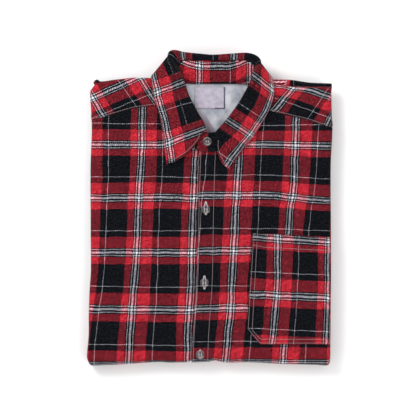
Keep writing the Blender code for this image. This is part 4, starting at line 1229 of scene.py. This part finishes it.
def make_stand(thread):
    stations = np.linspace(0, STAND_STATIONS, 220)
    low, high = (STAND.point(f"{end}_x {end}_y {end}_z", stations) for end in ("low", "high"))
    high = high + unit(high - low) * 0.3
    middle = lerp(low[:, None], high[:, None], np.linspace(0, 1, 22)[None, :, None])
    outer, inner = thickened(middle, STAND_WALL, (105, 10))
    # Behind the neck its stripes run straight down the view. Its front takes the plaid's dark red
    # and black, placed there as painted shade for the hollow under the collar.
    x, y = outer[..., 0], outer[..., 1]
    behind = between(stations, 6.0, 7.0, 15.0, 16.2)[:, None]
    bent = y - 8.0 * smooth(x, 14, 52) ** 2 - 8.5 * smooth(-x, 8, 44) ** 2
    up = lerp(1.22 + (92 - y) / REPEAT, GROUP + (px(0, 66)[1] - bent) / REPEAT, behind)
    # Painted shade: these stripes are chosen so that the front tab falls dark.
    front = 0.508 - 0.6 * (x + 3.6) / REPEAT
    across = np.where(behind > 0, strip_warp(x, STAND_BACK_WARP), front)
    grids = outer, inner, together(across, up)
    shell("collar_stand_cloth", "collar_stand", "plaid_flannel", grids, soft=0.4)
    # Along the upper tab's lower edge, and down its end.
    for path in (outer[TAB, 2], outer[TAB.stop - 1, 2:20]):
        thread.along(path, length=2.2, space=0.7)


# ---- the pocket ----

POCKET_WIDE, POCKET_TALL, POCKET_HEM = 106.0, 143.0, 17.8
POCKET_STITCHES = (1.5, 6.4)  # rows, from its edges
POCKET_LIFT = 0.4
POCKET_FOLD_X, POCKET_SLOPE = 150.0, 5.8  # its top slopes down by this to the side fold
ROW_START, ROW_END = 0.01, 0.955  # shares of it where its rows of stitches start and end


def pocket_point(u, v, high):
    """u across from the left edge, v down from the top, and high above the front's face."""
    y = lerp(POCKET_TOP, POCKET_BOTTOM, v)
    left = POCKET_LEFT.read("x", y)
    tangent = side_tangent("right", POCKET_FOLD_X, -y)
    radius = FOLD_R + high
    x = lerp(left, tangent + radius * math.sin(POCKET_WRAP), u)
    corner = np.maximum(0, 1 - (x - left) / POCKET_CUT[0]) * POCKET_CUT[1]
    y = lerp(POCKET_TOP - POCKET_SLOPE * u, POCKET_BOTTOM + corner, v)
    turn = np.arcsin(np.clip((x - tangent) / radius, 0, 1))
    return settle(x, y, STACK + high - radius * (1 - np.cos(turn)))


def pocket_slack(u, v):
    return 0.5 * np.sin(np.pi * u) * np.sin(np.pi * np.clip((v - 0.1) / 0.9, 0, 1))


def make_pocket(thread):
    close = np.array([0.8, 1.5, 2.2, 5.6, 6.4, 7.2]) / POCKET_WIDE
    hem = POCKET_HEM / POCKET_TALL
    close_hem = hem + np.array([-1.6, -0.8, 0, 0.8, 1.6]) / POCKET_TALL
    u = np.unique(np.concatenate([np.linspace(0, 1, 64), close]))
    v = np.unique(np.concatenate([np.linspace(0, 1, 90), close_hem]))
    u, v = np.meshgrid(u, v)
    across, down = u * POCKET_WIDE, v * POCKET_TALL
    dip = groove(down - POCKET_HEM)
    for row in POCKET_STITCHES:
        dip = dip + groove(across - row) + groove(POCKET_TALL - down - row)
    # The hem at the top is doubled, and the cloth between the stitching is a little slack.
    thick = WALL + 0.5 * (1 - smooth(down, POCKET_HEM - 1, POCKET_HEM + 1))
    outer = pocket_point(u, v, POCKET_LIFT + thick + pocket_slack(u, v) - dip)
    inner = pocket_point(u, v, POCKET_LIFT)
    x, y = outer[..., 0], outer[..., 1]
    flat_y = y + (x - px(278, 0)[0]) * lerp(0.044, 0.068, smooth(y, -90, -40))
    uv = together(warp_of(POCKET_WARP, x, y, "g"), weft_of(POCKET_WEFT, flat_y, "t"))
    shell("pocket_cloth", "pocket", "plaid_flannel", (outer, inner, uv), soft=0.4)
    t = np.linspace(0, 1, 60)
    lines = [(lerp(ROW_START, ROW_END, t), hem)]
    for row in POCKET_STITCHES:
        lines.append((row / POCKET_WIDE, lerp(ROW_START, 1 - row / POCKET_TALL, t)))
        lines.append((lerp(row / POCKET_WIDE, ROW_END, t), 1 - row / POCKET_TALL))
    for line in lines:
        u, v = np.broadcast_arrays(*line)
        thread.along(pocket_point(u, v, POCKET_LIFT + WALL - 0.15 + pocket_slack(u, v)))


# ---- what shows of the hidden layers ----


def placket_share(off):
    """1 where the placket's layers lie, by the distance from its edge, and 0 past them."""
    return np.minimum(ramp(off, -13, -8), 1 - ramp(off, 27, 32))


BACK_START = 62.0  # the back's tail is made from here up to its hem
TAIL_PLACKET_X = -33.0  # about where the placket's edge lies on it


def make_back():
    """The back's tail, inside the fronts' hem."""
    offs = np.unique(np.concatenate([np.linspace(-108, 176, 60), [-13, -10.5, -8, 27, 29.5, 32]]))
    table_x = TAIL_PLACKET_X + offs
    hem = HEM.read("y", table_x) - HEM_STEP
    run = run_on_tail(table_x, lerp(BACK_START, hem, np.linspace(0, 1, 40)[:, None]))
    low, high = (side_tangent(side, sign * SIDE_X, run) for side, sign in SIGN.items())
    x = np.clip(placket_x(run) + offs, low, high)
    grids = []
    for inward in (0.0, WALL):
        y, z = down_the_stack(table_x, run, WALL + GAP + 2.6 * placket_share(offs) + inward)
        grids.append(settle(x, y, z))
    shell("back_tail", "back", "plaid_flannel", (*grids, grids[0][..., :2] / REPEAT + 0.23))


def make_sleeve(name, side, node):
    """A flat tube, its two layers joined at soft folds."""
    sign, thick = SIGN[side], SLEEVE_THICK / 2
    inside = sign * (4.0 + thick)
    ys = np.linspace(*SLEEVE_ENDS, 90)[:, None]
    fold = EDGES.read(side, ys) - sign * (SLEEVE_INSET + thick)
    # Once round: the upper layer out, the outer fold, the lower layer back, and the inner fold.
    t, none = np.linspace(0.02, 0.98, 30), np.zeros(30)
    folds = np.radians([np.linspace(75, -75, 7), np.linspace(-105, -255, 7)])
    share = np.concatenate([t, np.ones(7), 1 - t, np.zeros(7)])
    out = np.concatenate([none, np.cos(folds[0]), none, np.cos(folds[1])])
    rise = np.concatenate([none + 1, np.sin(folds[0]), none - 1, np.sin(folds[1])])
    wave = 0.1 * np.sin(ys / 13.0) * (share == 1)

    def layer(radius):
        x = lerp(inside, fold, share) + sign * (radius * out + wave)
        return settle(x, ys, STACK / 2 + radius * rise)

    outer, inner = layer(thick), layer(GAP / 2)
    rows, columns = outer.shape[:2]
    index = np.arange(rows * columns).reshape(rows, columns)
    quads = ring_quads(rows, columns)
    faces = quads + [[i + rows * columns for i in quad[::-1]] for quad in quads]
    for row in (index[0], index[-1]):
        after = np.roll(row, -1)
        faces += together(row, row + rows * columns, after + rows * columns, after).tolist()
    around = np.concatenate([[0], np.cumsum(np.linalg.norm(np.diff(outer[0], axis=0), axis=1))])
    uv = flat_uv(around, ys).reshape(-1, 2)
    points = np.concatenate([outer.reshape(-1, 3), inner.reshape(-1, 3)])
    piece = new_piece(name, points, faces, FINISHES["plaid_flannel"], np.concatenate([uv, uv]))
    stands_for(piece, node)


CORE_OFFS = (-58, -44, -28, -13, -8, 27, 32, 54, 76, 90)  # columns, from the placket's edge


def core_loop(run_of, end_turn):
    """The hidden layers' outline across the stack at one row, its sides drawn in between layers."""
    on_tail = float(tail_share(0.0, run_of(0.0)))
    y_face = float(down_the_stack(0.0, run_of(0.0), 0.0)[0])
    left, right = (
        float(side_tangent(side, sign * SIDE_X, run_of(sign * SIDE_X)))
        for side, sign in SIGN.items()
    )
    edge = float(placket_x(run_of(0.0)))
    radius = (FOLD_R - CORE_DEPTH) * math.cos(end_turn)
    deep = FOLD_R + radius
    first, *_, last = middle = [edge + off for off in CORE_OFFS]
    x = [left, lerp(left, first, 0.35), lerp(left, first, 0.7), *middle]
    x = np.array([*x, lerp(last, right, 0.5), right])
    table_x = np.array([-SIDE_X, *x[1:-1], SIDE_X])
    # It is low under the placket, under the back on the tail, and under the open neck.
    channel = lerp(2.4, 4.8, on_tail) * placket_share(x - edge)
    under_back = (WALL + GAP) * ramp(y_face, 54, 58) * on_tail
    neck = np.minimum(ramp(x, -73, -58), ramp(x, 77, 62)) * ramp(y_face, 56, 68) * (1 - on_tail)
    top = FOLD_R - radius + np.maximum(channel + under_back, NECK_DEPTH * neck)
    turns = np.pi * np.linspace(0, 1, 13)[1:-1]
    out = (radius - 0.5 * np.abs(np.sin(3 * turns)) * (radius > 1)) * np.sin(turns)
    round_depth = FOLD_R - radius * np.cos(turns)
    deeper = 2 * FOLD_R
    if on_tail == 0:
        deeper = lerp(deeper, deep, float(ramp(y_face, 112, 122)))
    bottom = lerp(right - FLAP - 1, left + FLAP + 1, np.linspace(0, 1, 7))
    loop = (
        together(table_x, x, np.minimum(top, deep - 0.7)),
        together(SIDE_X, right + out, round_depth),
        together(SIDE_X, np.array([right, right - FLAP - 0.6]), deep),
        together(bottom, bottom, deeper),
        together(-SIDE_X, np.array([left + FLAP + 0.6, left]), deep),
        together(-SIDE_X, left - out[::-1], round_depth[::-1]),
    )
    table_x, x, depth = np.concatenate(loop).T
    y, z = down_the_stack(table_x, run_of(table_x), depth)
    return settle(x, y + (FOLD_R - CORE_DEPTH) * math.sin(end_turn), z)


def make_core():
    """Everything inside as one rounded solid, from the shoulder fold round to the hem."""
    rows = [(lambda x: 1.2 - shoulder_tangent(x), math.radians(d)) for d in range(72, -1, -12)]
    rows += [
        (lambda x, y=y: -y, 0) for y in (122, 112, 90, 68, 56, 28, 0, -35, -70, -105, -140, -165)
    ]
    rows += [
        (lambda x, t=t: BOTTOM_ROUND * t - bottom_tangent(x), 0) for t in np.linspace(0, 1, 13)
    ]
    rows += [
        (lambda x, y=y: run_on_tail(x, y), 0) for y in (-165, -140, -100, -60, -20, 20, 54, 58)
    ]
    rows += [
        (lambda x, t=t: run_on_tail(x, lerp(58, HEM.read("y", x) - 2 * HEM_STEP, t)), 0)
        for t in (0.3, 0.6, 0.9, 1)
    ]
    loops = np.array([core_loop(run_of, end_turn) for run_of, end_turn in rows])
    count = loops.shape[1]
    points = loops.reshape(-1, 3)
    faces = ring_quads(len(loops), count)
    faces += [list(range(count)), list(range(len(points) - count, len(points)))]
    uv = points[:, :2] / REPEAT + 0.4
    uv[:, 1] += points[:, 2] / REPEAT
    # The darker copy of the flannel: painted shade on the inside layers.
    finish = FINISHES["flannel_inside"]
    piece = new_piece("folded_layers_cloth", points, faces, finish, uv, soft_edge=60)
    stands_for(piece, "folded_layers")


# ---- buttons and buttonholes ----

# Half of a button's section, (radius, height), and how far its four holes lie off its middle.
BUTTON_PROFILE = rows_of(
    """0 0; 3.8 0; 4.9 0.25; 5.45 0.75; 5.7 1.25; 5.62 1.8; 5.3 2.3; 4.9 2.55
4.45 2.6; 4.05 2.45; 3.75 2.15; 3.45 1.98; 3 1.9; 1.5 1.82; 0 1.8"""
)
HOLE_OFF, HOLE_R = 1.35, 0.75
THREAD_HIGH = 1.86  # over the button's back, in its dished middle


def in_order(mesh):
    """Points and faces of a mesh, sorted, because spin makes them in another order each run."""
    points = np.array([vertex.co for vertex in mesh.vertices])
    order = np.lexsort(points.T)
    rank = np.argsort(order)
    faces = []
    for face in mesh.polygons:
        corners = rank[list(face.vertices)].tolist()
        first = corners.index(min(corners))
        faces.append(corners[first:] + corners[:first])
    return points[order], sorted(faces)


def lathe_button(node, place, flip):
    """A four-hole button with a raised rim and a dished middle, its back at place. Its face is
    up, or down where flip is -1."""
    shape = bmesh.new()
    line = [shape.verts.new((r * MM, 0, z * MM)) for r, z in BUTTON_PROFILE]
    edges = [shape.edges.new(pair) for pair in zip(line, line[1:])]
    turn = {"axis": (0, 0, 1), "cent": (0, 0, 0), "angle": math.tau, "steps": 40}
    bmesh.ops.spin(shape, geom=line + edges, use_merge=True, **turn)
    bmesh.ops.remove_doubles(shape, verts=shape.verts, dist=1e-7)
    bmesh.ops.recalc_face_normals(shape, faces=shape.faces)
    drill = bmesh.new()
    sizes = {"segments": 14, "radius1": HOLE_R * MM, "radius2": HOLE_R * MM, "depth": 12 * MM}
    for across in (-1, 1):
        for along in (-1, 1):
            hole = bmesh.ops.create_cone(drill, cap_ends=True, **sizes)
            vec = (across * HOLE_OFF * MM, along * HOLE_OFF * MM, 0)
            bmesh.ops.translate(drill, verts=hole["verts"], vec=vec)
    blank, cutter = (
        bpy.data.objects.new(node + end, bpy.data.meshes.new(node + end))
        for end in ("_blank", "_cutter")
    )
    for obj, form in ((blank, shape), (cutter, drill)):
        form.to_mesh(obj.data)
        form.free()
        bpy.context.scene.collection.objects.link(obj)
    holes = blank.modifiers.new("holes", "BOOLEAN")
    holes.operation, holes.object, holes.solver = "DIFFERENCE", cutter, "EXACT"
    graph = bpy.context.evaluated_depsgraph_get()
    points, faces = in_order(bpy.data.meshes.new_from_object(blank.evaluated_get(graph)))
    for obj in (blank, cutter):
        bpy.data.objects.remove(obj, do_unlink=True)
    points = points / MM * (1, flip, flip) + place
    finish = FINISHES["button_resin"]
    piece = new_piece(node + "_resin", points, faces, finish, soft_edge=38)
    stands_for(piece, node)


def sew_button(thread, place, flip):
    """Thread between the holes, and down through them."""
    x, y, z = place
    top = z + flip * THREAD_HIGH
    for side in (-HOLE_OFF, HOLE_OFF):
        for shift in (-0.25, 0.15):
            a, b = ((x + side + shift, y + end, top) for end in (-HOLE_OFF, HOLE_OFF))
            thread.stitch(a, b, (0, 0, flip), radius=0.28, raised=0.14)
        for end in (-1, 1):
            deep = (x + side, y + end * HOLE_OFF, z - flip * 0.2)
            high = (x + side, y + end * 1.2, top + flip * 0.1)
            thread.stitch(deep, high, (1, 0, 0), radius=0.3, raised=0.0)


def add_button(thread, node, place, flip=1.0):
    lathe_button(node, place, flip)
    sew_button(thread, place, flip)


def buttonhole(thread, point_at, length, open_by=1.3, wide=1.35):
    """A slit edged with close stitches, drawn open by the button's shank, with a bar at each end.
    point_at gives the point for a place across and along the hole."""
    for share in np.linspace(0, 1, 30):
        along = lerp(-length / 2 + 1, length / 2 - 1, share)
        opening = 0.15 + open_by * abs(math.sin(math.pi * share)) ** 1.5
        for side in (-1, 1):
            a, b = (point_at(side * off, along) for off in (opening, opening + wide))
            thread.stitch(a, b, UP, radius=0.29, raised=0.14)
    for end in (-1, 1):
        for k in range(4):
            along = end * (length / 2 - 0.9 + k * 0.42)
            a, b = (point_at(off, along) for off in (0.1 - wide, wide - 0.1))
            thread.stitch(a, b, UP, radius=0.29, raised=0.16)


# How far each hole's middle lies above its button's, and the hole's length.
HOLES = ((1.6, 16.0), (0.6, 16.4), (0.7, 10.6))
COLLAR_BUTTON, COLLAR_HOLE_X = (-4.3, 86.6), -5.6


def make_buttons(thread, dark_thread):
    for number, (run, (rise, length)) in enumerate(zip(TOP_BUTTON_RUNS, HOLES), 1):
        x, y = button_place(run)
        add_button(thread, f"button_{number}", on_face(x, y, PLACKET_LIFT + GAP + 0.05))

        def on_placket(across, along, x=x, y=y + rise):
            return on_face(x + across, y + along, PLACKET_LIFT)

        buttonhole(thread, on_placket, length)
    for number, run in enumerate(TAIL_BUTTON_RUNS, len(TOP_BUTTON_RUNS) + 1):
        add_button(thread, f"button_{number}", (*button_place(run), BUTTON_THICK), -1.0)
    x, y = COLLAR_BUTTON
    stand_top = float(STAND.read("low_z", STAND_STATIONS)) + STAND_WALL / 2
    add_button(thread, "button_collar", settle(x, y, stand_top + GAP + 0.1))

    def on_tab(across, along):
        return settle(COLLAR_HOLE_X + along, y + across, stand_top + 0.02)

    buttonhole(dark_thread, on_tab, 14.0, 0.5, 1.1)


# ---- the rows of topstitching on the fronts and the yoke ----


def front_rows(thread, left_front, right_front):
    for row in PLACKET_STITCH:
        at = int(np.argmin(np.abs(left_front.near - row)))
        thread.along(left_front.outer[2:-6, at], facing(left_front.normals[2:-6, at], 1, 10))
    for front in (left_front, right_front):
        at = np.argmin(np.abs(front.to_hem - HEM_STITCH), axis=0)
        # On the tail's face alone, to three columns short of the side fold.
        at = at[: -(TURN_COLUMNS + FLAP_COLUMNS + 3)]
        index = np.arange(len(at))
        thread.along(front.outer[at, index], facing(front.normals[at, index], -1, 10))


def yoke_rows(thread):
    for low, high in ((-150, -52), (60, 152)):
        x = np.linspace(low, high, 60)
        thread.along(on_face(x, front_top(x) + GAP / 2 + YOKE_STITCH, YOKE_LAP * 0.6))


# ---- the shirt ----


def make_shirt():
    topstitch, sewing, dark = Thread(), Thread(), Thread()
    left_front, right_front = Front("right"), Front("left")
    left_front.make("front_left_cloth", "front_left")
    right_front.make("front_right_cloth", "front_right")
    panels = yoke_panel("left"), yoke_panel("right"), yoke_band()
    shell("yoke_cloth", "yoke", "plaid_flannel", *panels)
    make_lining()
    make_label(topstitch)
    make_leaf(topstitch)
    make_stand(topstitch)
    make_pocket(topstitch)
    make_back()
    make_sleeve("sleeve_right_cloth", "left", "sleeve_right")
    make_sleeve("sleeve_left_cloth", "right", "sleeve_left")
    make_core()
    front_rows(topstitch, left_front, right_front)
    yoke_rows(topstitch)
    make_buttons(sewing, dark)
    topstitch.make("topstitching", THREAD)
    sewing.make("buttonhole_thread", HOLE_THREAD)
    dark.make("collar_buttonhole_thread", DARK_THREAD)


# ---- floor, light and camera ----


def make_stage():
    nodes = Nodes("floor_paint")
    rough = nodes.spread(nodes.noise(nodes.place(), 8.0), 0.3, 0.7, 0.75, 0.85)
    nodes.set(colour=(0.93, 0.93, 0.93, 1), specular=0.2, roughness=rough)
    mesh = bpy.data.meshes.new("floor")
    mesh.from_pydata([(-3, -3, 0), (3, -3, 0), (3, 3, 0), (-3, 3, 0)], [], [(0, 1, 2, 3)])
    mesh.materials.append(nodes.material)
    floor = bpy.data.objects.new("floor", mesh)
    bpy.context.scene.collection.objects.link(floor)
    world = bpy.data.worlds.new("studio")
    world.use_nodes = True
    world.node_tree.nodes["Background"].inputs["Color"].default_value = (1, 1, 1, 1)
    world.node_tree.nodes["Background"].inputs["Strength"].default_value = 0.8
    bpy.context.scene.world = world
    for name, (x, y, z), size, power in (
        ("key", (-1.1, 1.2, 1.4), 0.9, 30.0),
        ("fill", (1.2, -0.9, 1.6), 1.4, 12.0),
    ):
        lamp = bpy.data.lights.new(name, "AREA")
        lamp.size, lamp.energy = size, power
        lit = bpy.data.objects.new(name, lamp)
        lit.location = (x, y, z)
        lit.rotation_euler = (math.atan2(math.hypot(x, y), z), 0, math.atan2(-y, -x) - math.pi / 2)
        bpy.context.scene.collection.objects.link(lit)


def make_camera():
    """Straight down, from far enough to see no perspective to speak of."""
    far, sensor, view = 6.5, 36.0, 420
    camera = bpy.data.cameras.new("camera")
    camera.sensor_width = sensor
    camera.lens = sensor * far / (view * PX * MM)
    camera.clip_end = 20
    seen = bpy.data.objects.new("camera", camera)
    x, y = px(view / 2, view / 2)
    seen.location = (x * MM, y * MM, far + 0.026)
    scene = bpy.context.scene
    scene.collection.objects.link(seen)
    scene.camera = seen
    scene.view_settings.view_transform = "Standard"
    scene.view_settings.look = "None"


make_shirt()
make_stage()
make_camera()
